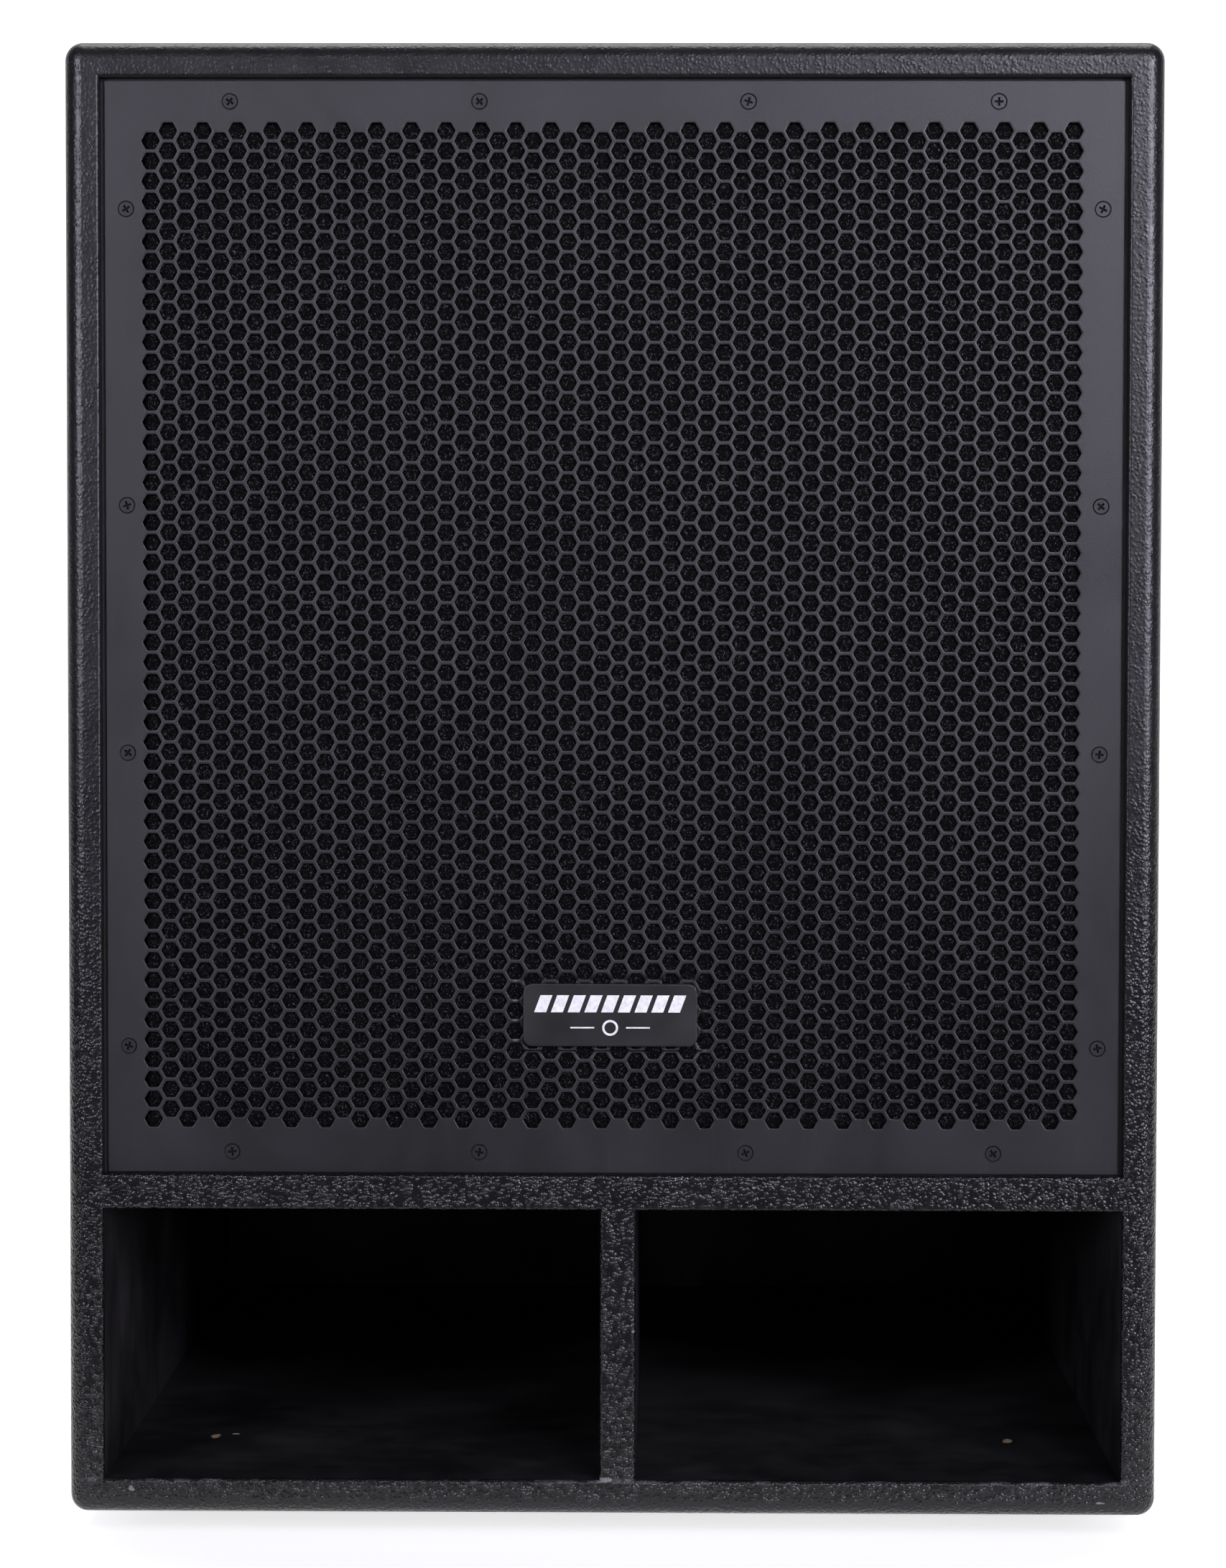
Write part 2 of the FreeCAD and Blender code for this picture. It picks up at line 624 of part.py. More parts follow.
def make_basket():
    """Die-cast frame: flange, eight spokes, spider ledge, rear ring and a terminal pad."""
    wall = 5
    flange_back = "(Dims.baffle_setback - Dims.seal_thickness)"
    flange_front = f"({flange_back} - Dims.flange_thickness)"
    back = "Dims.basket_back"
    seat = "Dims.spider_seat"
    body = turned("basket_casting", [
        ("Dims.flange_inner", flange_front),
        ("Dims.flange_radius", flange_front),
        ("Dims.flange_radius", flange_back),
        ("Dims.cutout_radius - 4", flange_back),
        ("Dims.basket_back_radius", f"{back} - 8"),
        ("Dims.basket_back_radius", back),
        ("Dims.gap_radius + 22", back),
        ("Dims.gap_radius + 22", f"{back} - 6"),
        ("86", f"{back} - 6"),
        ("86", seat),
        ("97", seat),
        ("97", f"{back} - 9"),
        (f"Dims.basket_back_radius - {wall - 1}", f"{back} - 9"),
        (f"Dims.cutout_radius - {4 + wall}", flange_back),
        ("Dims.flange_inner", f"{flange_back} - 2"),
    ])
    DOC.recompute()
    windows = new_sketch(body, "basket_window_outline", "XZ_Plane")
    inner, outer, half = 113, 196, math.radians(15.5)
    corners = [(r * math.cos(math.pi / 4 + s * half), r * math.sin(math.pi / 4 + s * half))
               for r, s in ((inner, -1), (outer, -1), (outer, 1), (inner, 1))]
    outline(windows, [(str(x), str(z)) for x, z in corners])
    window = body.newObject("PartDesign::Pocket", "basket_window")
    window.Profile = windows
    window.Type = "ThroughAll"
    window.Midplane = True
    DOC.recompute()
    repeated = body.newObject("PartDesign::PolarPattern", "basket_windows")
    repeated.Originals = [window]
    repeated.Axis = (plane_of(body, "Y_Axis"), [""])
    repeated.Angle = 360
    repeated.Occurrences = BOLTS
    body.Tip = repeated
    DOC.recompute()
    holes = new_sketch(body, "basket_bolt_outline", "XZ_Plane")
    first = math.pi / BOLTS
    centre = V(dim("bolt_circle") * math.cos(first), dim("bolt_circle") * math.sin(first), 0)
    holes.addGeometry(Part.Circle(centre, V(0, 0, 1), dim("bolt_hole")), False)
    holes.addConstraint(Sketcher.Constraint("DistanceX", -1, 1, 0, 3, centre.x))
    holes.addConstraint(Sketcher.Constraint("DistanceY", -1, 1, 0, 3, centre.y))
    radius = holes.addConstraint(Sketcher.Constraint("Radius", 0, dim("bolt_hole")))
    holes.setExpression(f"Constraints[{radius}]", "Dims.bolt_hole")
    drilled = body.newObject("PartDesign::Pocket", "basket_bolt_hole")
    drilled.Profile = holes
    drilled.Type = "ThroughAll"
    drilled.Midplane = True
    DOC.recompute()
    ring = body.newObject("PartDesign::PolarPattern", "basket_bolt_holes")
    ring.Originals = [drilled]
    ring.Axis = (plane_of(body, "Y_Axis"), [""])
    ring.Angle = 360
    ring.Occurrences = BOLTS
    body.Tip = ring
    bind(body, Base_y=FRONT, Base_z=WOOFER_Z)
    pad = block("basket_pad", "-20", f"{FRONT} + {back} - 21", f"{WOOFER_Z} - 118", "40", "21", "20")
    node(fuse("woofer_basket", body, pad), "woofer_basket")


def make_motor():
    """Top plate, ferrite ring, and back plate with its vented pole."""
    back = "Dims.basket_back"
    plate = "Dims.plate_thickness"
    magnet = "Dims.magnet_thickness"
    woofer_part("woofer_top_plate", [
        ("Dims.gap_radius", back),
        ("Dims.plate_radius", back),
        ("Dims.plate_radius", f"{back} + {plate}"),
        ("Dims.gap_radius", f"{back} + {plate}"),
    ])
    woofer_part("woofer_magnet", [
        ("Dims.magnet_inner", f"{back} + {plate}"),
        ("Dims.magnet_radius", f"{back} + {plate}"),
        ("Dims.magnet_radius", f"{back} + {plate} + {magnet}"),
        ("Dims.magnet_inner", f"{back} + {plate} + {magnet}"),
    ])
    woofer_part("woofer_back_plate", [
        ("Dims.vent_radius", back),
        ("Dims.pole_radius", back),
        ("Dims.pole_radius", f"{back} + {plate} + {magnet}"),
        ("Dims.magnet_radius - 4", f"{back} + {plate} + {magnet}"),
        ("Dims.magnet_radius - 4", f"{back} + 2 * {plate} + {magnet} - 3"),
        ("Dims.magnet_radius - 7", f"{back} + 2 * {plate} + {magnet}"),
        ("Dims.vent_radius + 6", f"{back} + 2 * {plate} + {magnet}"),
        ("Dims.vent_radius", f"{back} + 2 * {plate} + {magnet} - 10"),
    ])


def make_voice_coil():
    middle = "(Dims.basket_back + Dims.plate_thickness / 2)"
    outside = "(Dims.former_radius + Dims.former_wall)"
    woofer_part("voice_coil_former", [
        ("Dims.former_radius", "Dims.neck - 6"),
        (outside, "Dims.neck - 6"),
        (outside, f"{middle} + Dims.winding_height / 2"),
        ("Dims.former_radius", f"{middle} + Dims.winding_height / 2"),
    ])
    woofer_part("voice_coil_winding", [
        (outside, f"{middle} - Dims.winding_height / 2"),
        (f"{outside} + Dims.winding_wall", f"{middle} - Dims.winding_height / 2"),
        (f"{outside} + Dims.winding_wall", f"{middle} + Dims.winding_height / 2"),
        (outside, f"{middle} + Dims.winding_height / 2"),
    ])


def ring_from(edges):
    """A solid turned about the woofer's axis from edges drawn in (radius, place) order."""
    return spun(Part.Face(Part.Wire(edges)))


def spun(face):
    """A (radius, place) face turned about the woofer's axis."""
    shape = face.revolve(V(), V(0, 1, 0), 360)
    made = Part.makeSolid(shape) if shape.ShapeType != "Solid" else shape
    if made.Volume < 0:
        made.reverse()
    made.translate(V(0, FRONT_Y, WOOFER_AXIS_Z))
    return made


def line(a, b):
    return Part.LineSegment(V(a[0], a[1], 0), V(b[0], b[1], 0)).toShape()


def arc(a, through, b):
    return Part.Arc(V(a[0], a[1], 0), V(through[0], through[1], 0), V(b[0], b[1], 0)).toShape()


def waves(start, end, place, swing, count):
    """Alternating arcs from radius start to radius end, swinging about place."""
    step = (end - start) / count
    for i in range(count):
        r, sign = start + i * step, -1 if i % 2 == 0 else 1
        yield arc((r, place), (r + step / 2, place + sign * swing), (r + step, place))


def wavy_ring(label, radii, place, swing, count, thickness):
    """A corrugated ring with a flat rim inside and outside. radii: rim, wave, wave, rim."""
    inner, first, last, outer = radii
    edges = [
        line((inner, place), (first, place)),
        *waves(first, last, place, swing, count),
        line((last, place), (outer, place)),
    ]
    strip = Part.Wire(Part.__sortEdges__(edges)).makeOffset2D(thickness, 2, True, True)
    return solid(label, spun(strip.Faces[0]))


def cone_bend(shift):
    """The cone's front or rear line, from the neck to the rim: start, middle and end points."""
    neck, rim = dim("neck"), FLANGE_FRONT
    start = (dim("former_radius") + dim("former_wall"), neck + shift)
    end = (dim("cone_radius") - 6, rim + shift)
    middle = ((start[0] + end[0]) / 2 - 7, (start[1] + end[1]) / 2 - 9)
    return start, middle, end


def make_cone():
    """Paper cone with a flat rim, dust cap, roll surround and spider."""
    paper = dim("paper")
    rim = dim("cone_radius")
    front, back = cone_bend(0), cone_bend(paper)
    edges = [
        arc(*front),
        line(front[2], (rim, front[2][1])),
        line((rim, front[2][1]), (rim, back[2][1])),
        line((rim, back[2][1]), back[2]),
        arc(*back),
        line(back[0], front[0]),
    ]
    solid("woofer_cone", ring_from(Part.__sortEdges__(edges)))

    solid("woofer_dust_cap", dust_cap(front))

    wavy_ring("woofer_surround", (rim - 5, rim, 201, 209), FLANGE_FRONT, 2.2, 3, 0.8)
    wavy_ring("woofer_spider", (dim("former_radius") + dim("former_wall"), 44, 84, 96),
              dim("spider_seat"), 1.3, 8, 0.6)


def dust_cap(cone_front):
    """A thin dome whose skirt ends on the cone's front surface."""
    cap, height, skin = dim("cap_radius"), dim("cap_height"), 1
    seat = cone_place_at(cap)
    ball = (cap ** 2 + height ** 2) / (2 * height)
    centre = V(0, seat - height + ball, 0)
    forward = V(0, -1, 0)
    dome = Part.makeSphere(ball, centre).common(Part.makeCylinder(cap, 40, V(0, seat, 0), forward))
    dome = dome.fuse(Part.makeCylinder(cap, 6, V(0, seat + 6, 0), forward))
    inside = Part.makeSphere(ball - skin, centre).common(
        Part.makeCylinder(cap - skin, 60, V(0, seat + 20, 0), forward))
    shell = dome.removeSplitter().cut(inside)
    shell.translate(V(0, FRONT_Y, WOOFER_AXIS_Z))
    start, _, end = cone_front
    behind = [arc(*cone_front), line(end, (end[0], start[1])), line((end[0], start[1]), start)]
    return shell.cut(ring_from(Part.__sortEdges__(behind)))


def cone_place_at(radius):
    """How far behind the front edge the cone's front surface lies at a radius."""
    curve = Part.Arc(*[V(x, y, 0) for x, y in cone_bend(0)])
    across = Part.LineSegment(V(radius, 0, 0), V(radius, dim("neck") + 20, 0))
    return curve.intersect(across)[0].Y


def make_woofer_rings():
    """Front gasket on the flange and the seal under it."""
    front = f"(Dims.baffle_setback - Dims.seal_thickness - Dims.flange_thickness)"
    woofer_part("woofer_gasket", [
        ("202", f"{front} - 4"),
        ("213", f"{front} - 4"),
        ("213", f"{front}"),
        ("209.3", f"{front}"),
        ("209.3", f"{front} - 0.8"),
        ("202", f"{front} - 0.8"),
    ])
    seal = turned("seal_ring", [
        ("Dims.cutout_radius", "Dims.baffle_setback - Dims.seal_thickness"),
        ("Dims.flange_radius", "Dims.baffle_setback - Dims.seal_thickness"),
        ("Dims.flange_radius", "Dims.baffle_setback"),
        ("Dims.cutout_radius", "Dims.baffle_setback"),
    ])
    bind(seal, Base_y=FRONT, Base_z=WOOFER_Z)
    spots = [(x, FRONT_Y + FLANGE_FRONT, z) for x, z in woofer_bolt_spots()]
    holes = pattern("seal_holes", "Cylinder", spots, Radius=dim("bolt_hole"),
                    Height=dim("flange_thickness") + dim("seal_thickness"))
    node(cut("woofer_seal", seal, holes), "woofer_seal")


def make_woofer_fasteners():
    """Eight socket-head bolts into eight tee nuts behind the baffle."""
    thread, head, head_height, length = 3, 5, 6, 32
    bolt = Part.makeCylinder(head, head_height, V(0, -head_height, 0), V(0, 1, 0))
    bolt = bolt.fuse(Part.makeCylinder(thread, length, V(), V(0, 1, 0))).removeSplitter()
    key = Part.makePolygon([V(2.9 * math.cos(math.radians(60 * i)), 0, 2.9 * math.sin(math.radians(60 * i)))
                            for i in range(7)])
    bolt = bolt.cut(Part.Face(key).extrude(V(0, 3, 0)).translated(V(0, -head_height, 0)))
    front = FRONT_Y + FLANGE_FRONT
    places = [FreeCAD.Placement(V(x, front, z), FreeCAD.Rotation()) for x, z in woofer_bolt_spots()]
    copies("woofer_bolts", bolt, places)

    back = FRONT_Y + dim("baffle_setback") + dim("board")
    barrel, disc = TEE_BARREL - 0.05, 9
    nut = Part.makeCylinder(disc, 1.5, V(), V(0, 1, 0))
    nut = nut.fuse(Part.makeCylinder(barrel, 12, V(0, -12, 0), V(0, 1, 0))).removeSplitter()
    nut = nut.cut(Part.makeCylinder(thread + 0.05, 20, V(0, -14, 0), V(0, 1, 0)))
    places = [FreeCAD.Placement(V(x, back, z), FreeCAD.Rotation()) for x, z in woofer_bolt_spots()]
    copies("tee_nuts", nut, places)


POST_X = 11
POST_TIP = 140


def make_woofer_terminals():
    """Terminal block on the basket's pad, its two posts, and the braided leads to the cone."""
    y = FRONT_Y + dim("basket_back") - 10.5
    z = WOOFER_AXIS_Z - 118
    plate = Part.makeBox(36, 18, 8, V(-18, y - 9, z - 8))
    plate = plate.makeFillet(1.5, [e for e in plate.Edges if abs(e.tangentAt(e.FirstParameter).z) > 0.9])
    solid("woofer_terminal_block", plate)
    posts = []
    for side in (-1, 1):
        stem = Part.makeCylinder(2.6, POST_TIP - 126, V(side * POST_X, y, z - 8), V(0, 0, -1))
        collar = Part.makeCylinder(4.5, 5, V(side * POST_X, y, z - 8), V(0, 0, -1))
        posts.append(stem.fuse(collar).removeSplitter())
    solid("woofer_terminal_posts", Part.makeCompound(posts))


def tube(points, radius):
    """A round tube along straight runs joined by tangent arcs as large as the runs allow."""
    edges, tail = [], points[0]
    for before, corner, after in zip(points, points[1:], points[2:]):
        into, out = corner - before, after - corner
        turn = into.getAngle(out)
        if turn < 1e-3:
            continue
        reach = 0.45 * min(into.Length, out.Length)
        start = corner - V(into).normalize() * reach
        end = corner + V(out).normalize() * reach
        bisector = (V(out).normalize() - V(into).normalize()).normalize()
        bend = reach / math.tan(turn / 2)
        middle = corner + bisector * (math.hypot(bend, reach) - bend)
        edges.append(Part.LineSegment(tail, start).toShape())
        edges.append(Part.Arc(start, middle, end).toShape())
        print(f"  bend radius {bend:.1f} mm")
        tail = end
    edges.append(Part.LineSegment(tail, points[-1]).toShape())
    path = Part.Wire(edges)
    first = (points[1] - points[0]).normalize()
    disc = Part.Wire([Part.Circle(points[0], first, radius).toShape()])
    swept = path.makePipeShell([disc], True, True)
    print(f"  volume {swept.Volume:.1f}, section times length {math.pi * radius ** 2 * path.Length:.1f}")
    return swept


def make_leads():
    """Braided leads that flex between the terminal block and the cone's neck."""
    leads = []
    y = FRONT_Y + dim("basket_back") - 10.5
    neck = dim("former_radius") + dim("former_wall")
    for side in (-1, 1):
        start = V(side * POST_X, y - 9, WOOFER_AXIS_Z - 122)
        route = [
            start,
            V(side * POST_X, y - 21, WOOFER_AXIS_Z - 122),
            V(side * POST_X, y - 33, WOOFER_AXIS_Z - 104),
            V(side * (POST_X - 1), y - 34, WOOFER_AXIS_Z - 80),
            V(side * (POST_X - 2), y - 29, WOOFER_AXIS_Z - 62),
            V(side * (POST_X - 3), y - 31, WOOFER_AXIS_Z - neck - 1.5),
        ]
        leads.append(tube(route, 0.9))
    solid("woofer_lead_braids", Part.makeCompound(leads))


# ---------------------------------------------------------------- rear connectors


def plate_screw_spots():
    x, z = dim("plate_width") / 2 - 8, dim("plate_height") / 2 - 8
    return [(sx * x, sz * z) for sx in (-1, 0, 1) for sz in (-1, 1)]


def rounded_plate(name, role, width, height, radius, thickness, back=False):
    body = new_body(name)
    sketch = new_sketch(body, name + "_outline", role)
    centred_rectangle(sketch, width, height, radius)
    extrude(body, "Pad", name + "_pad", sketch, thickness, back=back)
    return body


def make_plate_space():
    """The pocket and window in the rear panel that take the connector plate."""
    slack = 2
    depth = "(Dims.plate_recess + Dims.plate_gauge + Dims.plate_gasket)"
    pocket = rounded_plate("plate_pocket", "XZ_Plane", f"Dims.plate_width + {slack}",
                           f"Dims.plate_height + {slack}", "5", depth)
    bind(pocket, Base_y=REAR, Base_z=PLATE_Z)
    window = rounded_plate("plate_window", "XZ_Plane", "Dims.plate_window_width",
                           "Dims.plate_window_height", "6", "Dims.board")
    bind(window, Base_y=REAR, Base_z=PLATE_Z)
    floor = REAR_Y - dim("plate_recess") - dim("plate_gauge") - dim("plate_gasket")
    pilots = pattern("plate_pilots", "Cylinder",
                     [(x, floor - PLATE_SCREW_BITE, PLATE_MIDDLE_Z + z) for x, z in plate_screw_spots()],
                     Radius=1.8, Height=PLATE_SCREW_BITE)
    return [pocket, window, pilots]


PLATE_SCREW_BITE = 9


def socket_places():
    return [V(side * dim("socket_spacing") / 2, PLATE_FACE_Y, PLATE_MIDDLE_Z) for side in (-1, 1)]


SOCKET_BARREL = 11.8
SOCKET_FLANGE = 2.2
SOCKET_SCREW_X = 9.5
SOCKET_SCREW_Z = 12


def make_connector_plate():
    plate = rounded_plate("plate_blank", "XZ_Plane", "Dims.plate_width", "Dims.plate_height", "4",
                          "Dims.plate_gauge")
    bind(plate, Base_y=PLATE_FACE, Base_z=PLATE_Z)
    inside = PLATE_FACE_Y - dim("plate_gauge")
    barrels = pattern("plate_barrel_holes", "Cylinder", [(p.x, inside, p.z) for p in socket_places()],
                      Radius=SOCKET_BARREL + 0.2, Height=dim("plate_gauge"))
    screws = pattern("plate_screw_holes", "Cylinder",
                     [(x, inside, PLATE_MIDDLE_Z + z) for x, z in plate_screw_spots()],
                     Radius=2, Height=dim("plate_gauge"))
    small = pattern("plate_socket_screw_holes", "Cylinder",
                    [(p.x + s * SOCKET_SCREW_X, inside, p.z - s * SOCKET_SCREW_Z)
                     for p in socket_places() for s in (-1, 1)],
                    Radius=1.6, Height=dim("plate_gauge"))
    node(cut("connector_plate", plate, barrels, screws, small), "connector_plate")

    gasket = rounded_plate("gasket_blank", "XZ_Plane", "Dims.plate_width - 1", "Dims.plate_height - 1",
                           "4", "Dims.plate_gasket")
    bind(gasket, Base_y=f"{PLATE_FACE} - Dims.plate_gauge", Base_z=PLATE_Z)
    window = rounded_plate("gasket_window", "XZ_Plane", "Dims.plate_window_width",
                           "Dims.plate_window_height", "6", "Dims.plate_gasket")
    bind(window, Base_y=f"{PLATE_FACE} - Dims.plate_gauge", Base_z=PLATE_Z)
    holes = pattern("gasket_holes", "Cylinder",
                    [(x, inside - dim("plate_gasket"), PLATE_MIDDLE_Z + z) for x, z in plate_screw_spots()],
                    Radius=2, Height=dim("plate_gasket"))
    node(cut("connector_plate_gasket", gasket, window, holes), "connector_plate_gasket")

    shank = dim("plate_gauge") + dim("plate_gasket") + PLATE_SCREW_BITE - 0.5
    screw = pan_screw(3.6, 2.4, 1.75, shank, 3.4)
    outward = FreeCAD.Rotation(V(0, 0, 1), V(0, 1, 0))
    places = [
        FreeCAD.Placement(V(x, PLATE_FACE_Y, PLATE_MIDDLE_Z + z),
                          FreeCAD.Rotation(V(0, 1, 0), (i * 53) % 90).multiply(outward))
        for i, (x, z) in enumerate(plate_screw_spots())
    ]
    copies("connector_plate_screws", screw, places)


def speaker_socket():
    """A four-pole locking speaker socket that faces +Y, with its flange's back at the origin."""
    flange = Part.makeBox(26, SOCKET_FLANGE, 31, V(-13, 0, -15.5))
    flange = flange.makeFillet(3, [e for e in flange.Edges if abs(e.tangentAt(e.FirstParameter).y) > 0.9])
    barrel = Part.makeCylinder(SOCKET_BARREL, 24, V(0, -24, 0), V(0, 1, 0))
    well = Part.makeCylinder(10, 18, V(0, SOCKET_FLANGE - 18, 0), V(0, 1, 0))
    core = Part.makeCylinder(6, 16.5, V(0, SOCKET_FLANGE - 18, 0), V(0, 1, 0))
    core = core.cut(Part.makeCylinder(2.4, 14, V(0, SOCKET_FLANGE - 14, 0), V(0, 1, 0)))
    shell = flange.fuse(barrel).cut(well).fuse(core)
    for angle in (90, 210, 330):
        key = Part.makeBox(1.6, 18, 3.4, V(8.9, SOCKET_FLANGE - 18, -1.7))
        key.rotate(V(), V(0, 1, 0), angle)
        shell = shell.cut(key)
    for s in (-1, 1):
        spot = V(s * SOCKET_SCREW_X, -1, -s * SOCKET_SCREW_Z)
        shell = shell.cut(Part.makeCylinder(1.6, 5, spot, V(0, 1, 0)))
    return shell.removeSplitter()


def make_sockets():
    for name, place in zip(("left", "right"), socket_places()):
        solid(f"speaker_socket_{name}", speaker_socket().translated(place))
    blade = Part.makeBox(4.8, 9, 0.8, V(-2.4, -33, -0.4))
    places = [
        FreeCAD.Placement(p + V(dx, 0, dz), FreeCAD.Rotation())
        for p in socket_places() for dx in (-5.5, 5.5) for dz in (-5, 5)
    ]
    copies("socket_contacts", blade, places)
    screw = pan_screw(2.8, 1.8, 1.5, SOCKET_FLANGE + dim("plate_gauge") + 4, 2.8)
    outward = FreeCAD.Rotation(V(0, 0, 1), V(0, 1, 0))
    places = [
        FreeCAD.Placement(p + V(s * SOCKET_SCREW_X, SOCKET_FLANGE, -s * SOCKET_SCREW_Z), outward)
        for p in socket_places() for s in (-1, 1)
    ]
    copies("socket_screws", screw, places)


# Wire routes: from a socket's blade, over the cross brace, to a post under the woofer's basket
WIRE_START_Y = -33.2


def make_wires():
    socket = socket_places()[0]
    y_post = FRONT_Y + dim("basket_back") - 10.5
    z_post = WOOFER_AXIS_Z - POST_TIP
    brace_top = dim("foot_height") + dim("brace_height") + dim("board")
    clip_y = FRONT_Y + dim("brace_setback") + dim("brace_width") / 2
    gap = dim("wire_radius") + 0.4
    for name, side, level in (("positive", 1, 5), ("negative", -1, -5)):
        start = socket + V(side * 5.5, WIRE_START_Y, level)
        lane = side * 4.5
        route = [
            start,
            start + V(0, -18, 0),
            V(socket.x + 14 + lane, start.y - 38, socket.z - 22 + level / 2),
            V(-6 + lane, clip_y + 50, brace_top + 26),
            V(lane, clip_y + 20, brace_top + gap + 0.3),
            V(lane, clip_y - 54, brace_top + gap + 0.3),
            V(lane + side * 2, clip_y - 96, brace_top - 26),
            V(lane + side * 4, clip_y - 150, brace_top - 46),
            V(lane + side * 5, clip_y - 190, brace_top - 54),
            V(side * POST_X + side * 2, y_post + 60, z_post - 42),
            V(side * POST_X + side * 1, y_post + 18, z_post - 40),
            V(side * POST_X, y_post, z_post - 22),
            V(side * POST_X, y_post, z_post - 0.2),
        ]
        print(f"wire_{name}")
        solid(f"speaker_wire_{name}", tube(route, dim("wire_radius")))
    base = Part.makeBox(26, 10, 9.5, V(-13, clip_y - 5, brace_top))
    tunnel = Part.makeBox(14.4, 12, 6, V(-7.2, clip_y - 6, brace_top))
    solid("wire_clip", base.cut(tunnel))


# ---------------------------------------------------------------- handles, pole socket, feet


def turned_to(side):
    """The turn that carries a piece built for the right side to the left one."""
    return FreeCAD.Rotation(V(0, 0, 1), 0 if side > 0 else 180)


def handle_screw_spots():
    y, z = dim("handle_length") / 2 - 11, dim("handle_width") / 2 - 7.5
    return [(sy * y, sz * z) for sy in (-1, 0, 1) for sz in (-1, 1)]


HANDLE_SIDES = (("left", -1), ("right", 1))


def make_dish_spaces():
    """The holes in the side panels that the handle dishes pass through."""
    spaces = {}
    for name, side in HANDLE_SIDES:
        space = rounded_plate(f"dish_space_{name}", "YZ_Plane", "Dims.dish_length + 2 * Dims.dish_wall + 1",
                              "Dims.dish_width + 2 * Dims.dish_wall + 1", "15.5", "Dims.board + 2")
        x = f"-{HALF_WIDTH} - 1" if side < 0 else f"{HALF_WIDTH} - Dims.board - 1"
        bind(space, Base_x=x, Base_y=HANDLE_Y, Base_z=HANDLE_Z)
        face = side * dim("cabinet_width") / 2
        pilots = DOC.addObject("Part::Compound", f"handle_pilots_{name}")
        links = []
        for i, (y, z) in enumerate(handle_screw_spots()):
            hole = DOC.addObject("Part::Cylinder", f"handle_pilot_{name}_{i}")
            hole.Radius, hole.Height = 2.05, 16
            hole.Placement = FreeCAD.Placement(V(face, HANDLE_MIDDLE.y + y, HANDLE_MIDDLE.z + z),
                                               FreeCAD.Rotation(V(0, 0, 1), V(-side, 0, 0)))
            links.append(hole)
        pilots.Links = links + [space]
        spaces[name] = pilots
    return spaces


def make_handles():
    """Moulded recessed bar handles: flange, tapered dish and grip bar in one piece."""
    for name, side in HANDLE_SIDES:
        body = new_body(f"handle_{name}")
        flange = new_sketch(body, f"handle_flange_{name}", "YZ_Plane")
        centred_rectangle(flange, "Dims.handle_length", "Dims.handle_width", "22")
        extrude(body, "Pad", f"handle_rim_{name}", flange, "Dims.handle_flange")
        outer = new_sketch(body, f"handle_dish_outline_{name}", "YZ_Plane")
        centred_rectangle(outer, "Dims.dish_length + 2 * Dims.dish_wall",
                          "Dims.dish_width + 2 * Dims.dish_wall", "15")
        extrude(body, "Pad", f"handle_dish_{name}", outer, "Dims.dish_depth", "-Dims.dish_taper", back=True)
        inner = new_sketch(body, f"handle_mouth_{name}", "YZ_Plane", "Dims.handle_flange")
        centred_rectangle(inner, "Dims.dish_length", "Dims.dish_width", "12")
        extrude(body, "Pocket", f"handle_hollow_{name}", inner, "Dims.dish_depth", "-Dims.dish_taper")
        grip = new_sketch(body, f"handle_grip_outline_{name}", "XZ_Plane")
        grip.addGeometry(Part.Circle(V(-dim("grip_drop"), 0, 0), V(0, 0, 1), dim("grip_radius")), False)
        across = grip.addConstraint(Sketcher.Constraint("DistanceX", 0, 3, -1, 1, dim("grip_drop")))
        grip.setExpression(f"Constraints[{across}]", "Dims.grip_drop")
        grip.addConstraint(Sketcher.Constraint("PointOnObject", 0, 3, -1))
        size = grip.addConstraint(Sketcher.Constraint("Radius", 0, dim("grip_radius")))
        grip.setExpression(f"Constraints[{size}]", "Dims.grip_radius")
        bar = body.newObject("PartDesign::Pad", f"handle_grip_{name}")
        bar.Profile = grip
        bar.Midplane = True
        bar.setExpression("Length", "Dims.dish_length - 2")
        body.Placement = FreeCAD.Placement(V(), turned_to(side))
        x = f"-{HALF_WIDTH}" if side < 0 else HALF_WIDTH
        bind(body, Base_x=x, Base_y=HANDLE_Y, Base_z=HANDLE_Z)
        drills = DOC.addObject("Part::Compound", f"handle_drills_{name}")
        links = []
        face = side * (dim("cabinet_width") / 2 + dim("handle_flange"))
        for i, (y, z) in enumerate(handle_screw_spots()):
            sink = DOC.addObject("Part::Cone", f"handle_sink_{name}_{i}")
            sink.Radius1, sink.Radius2, sink.Height = 4.1, 2.1, 2
            drill = DOC.addObject("Part::Cylinder", f"handle_drill_{name}_{i}")
            drill.Radius, drill.Height = 2.1, 5
            for tool in (sink, drill):
                tool.Placement = FreeCAD.Placement(V(face, HANDLE_MIDDLE.y + y, HANDLE_MIDDLE.z + z),
                                                   FreeCAD.Rotation(V(0, 0, 1), V(-side, 0, 0)))
                links.append(tool)
        drills.Links = links
        node(cut(f"side_handle_{name}", body, drills), f"side_handle_{name}")

    screw = countersunk_screw(3.8, 1.75, 18, 4.3)
    inward = FreeCAD.Rotation(V(0, 1, 0), V(-1, 0, 0))
    places = []
    for name, side in HANDLE_SIDES:
        face = side * (dim("cabinet_width") / 2 + dim("handle_flange") - 0.1)
        for y, z in handle_screw_spots():
            spot = V(face, HANDLE_MIDDLE.y + y, HANDLE_MIDDLE.z + z)
            places.append(FreeCAD.Placement(spot, turned_to(side).multiply(inward)))
    copies("handle_screws", screw, places)


def pole_screw_spots():
    r = dim("pole_screw_circle")
    return [(r * math.cos(math.radians(45 + 90 * i)), r * math.sin(math.radians(45 + 90 * i)))
            for i in range(4)]


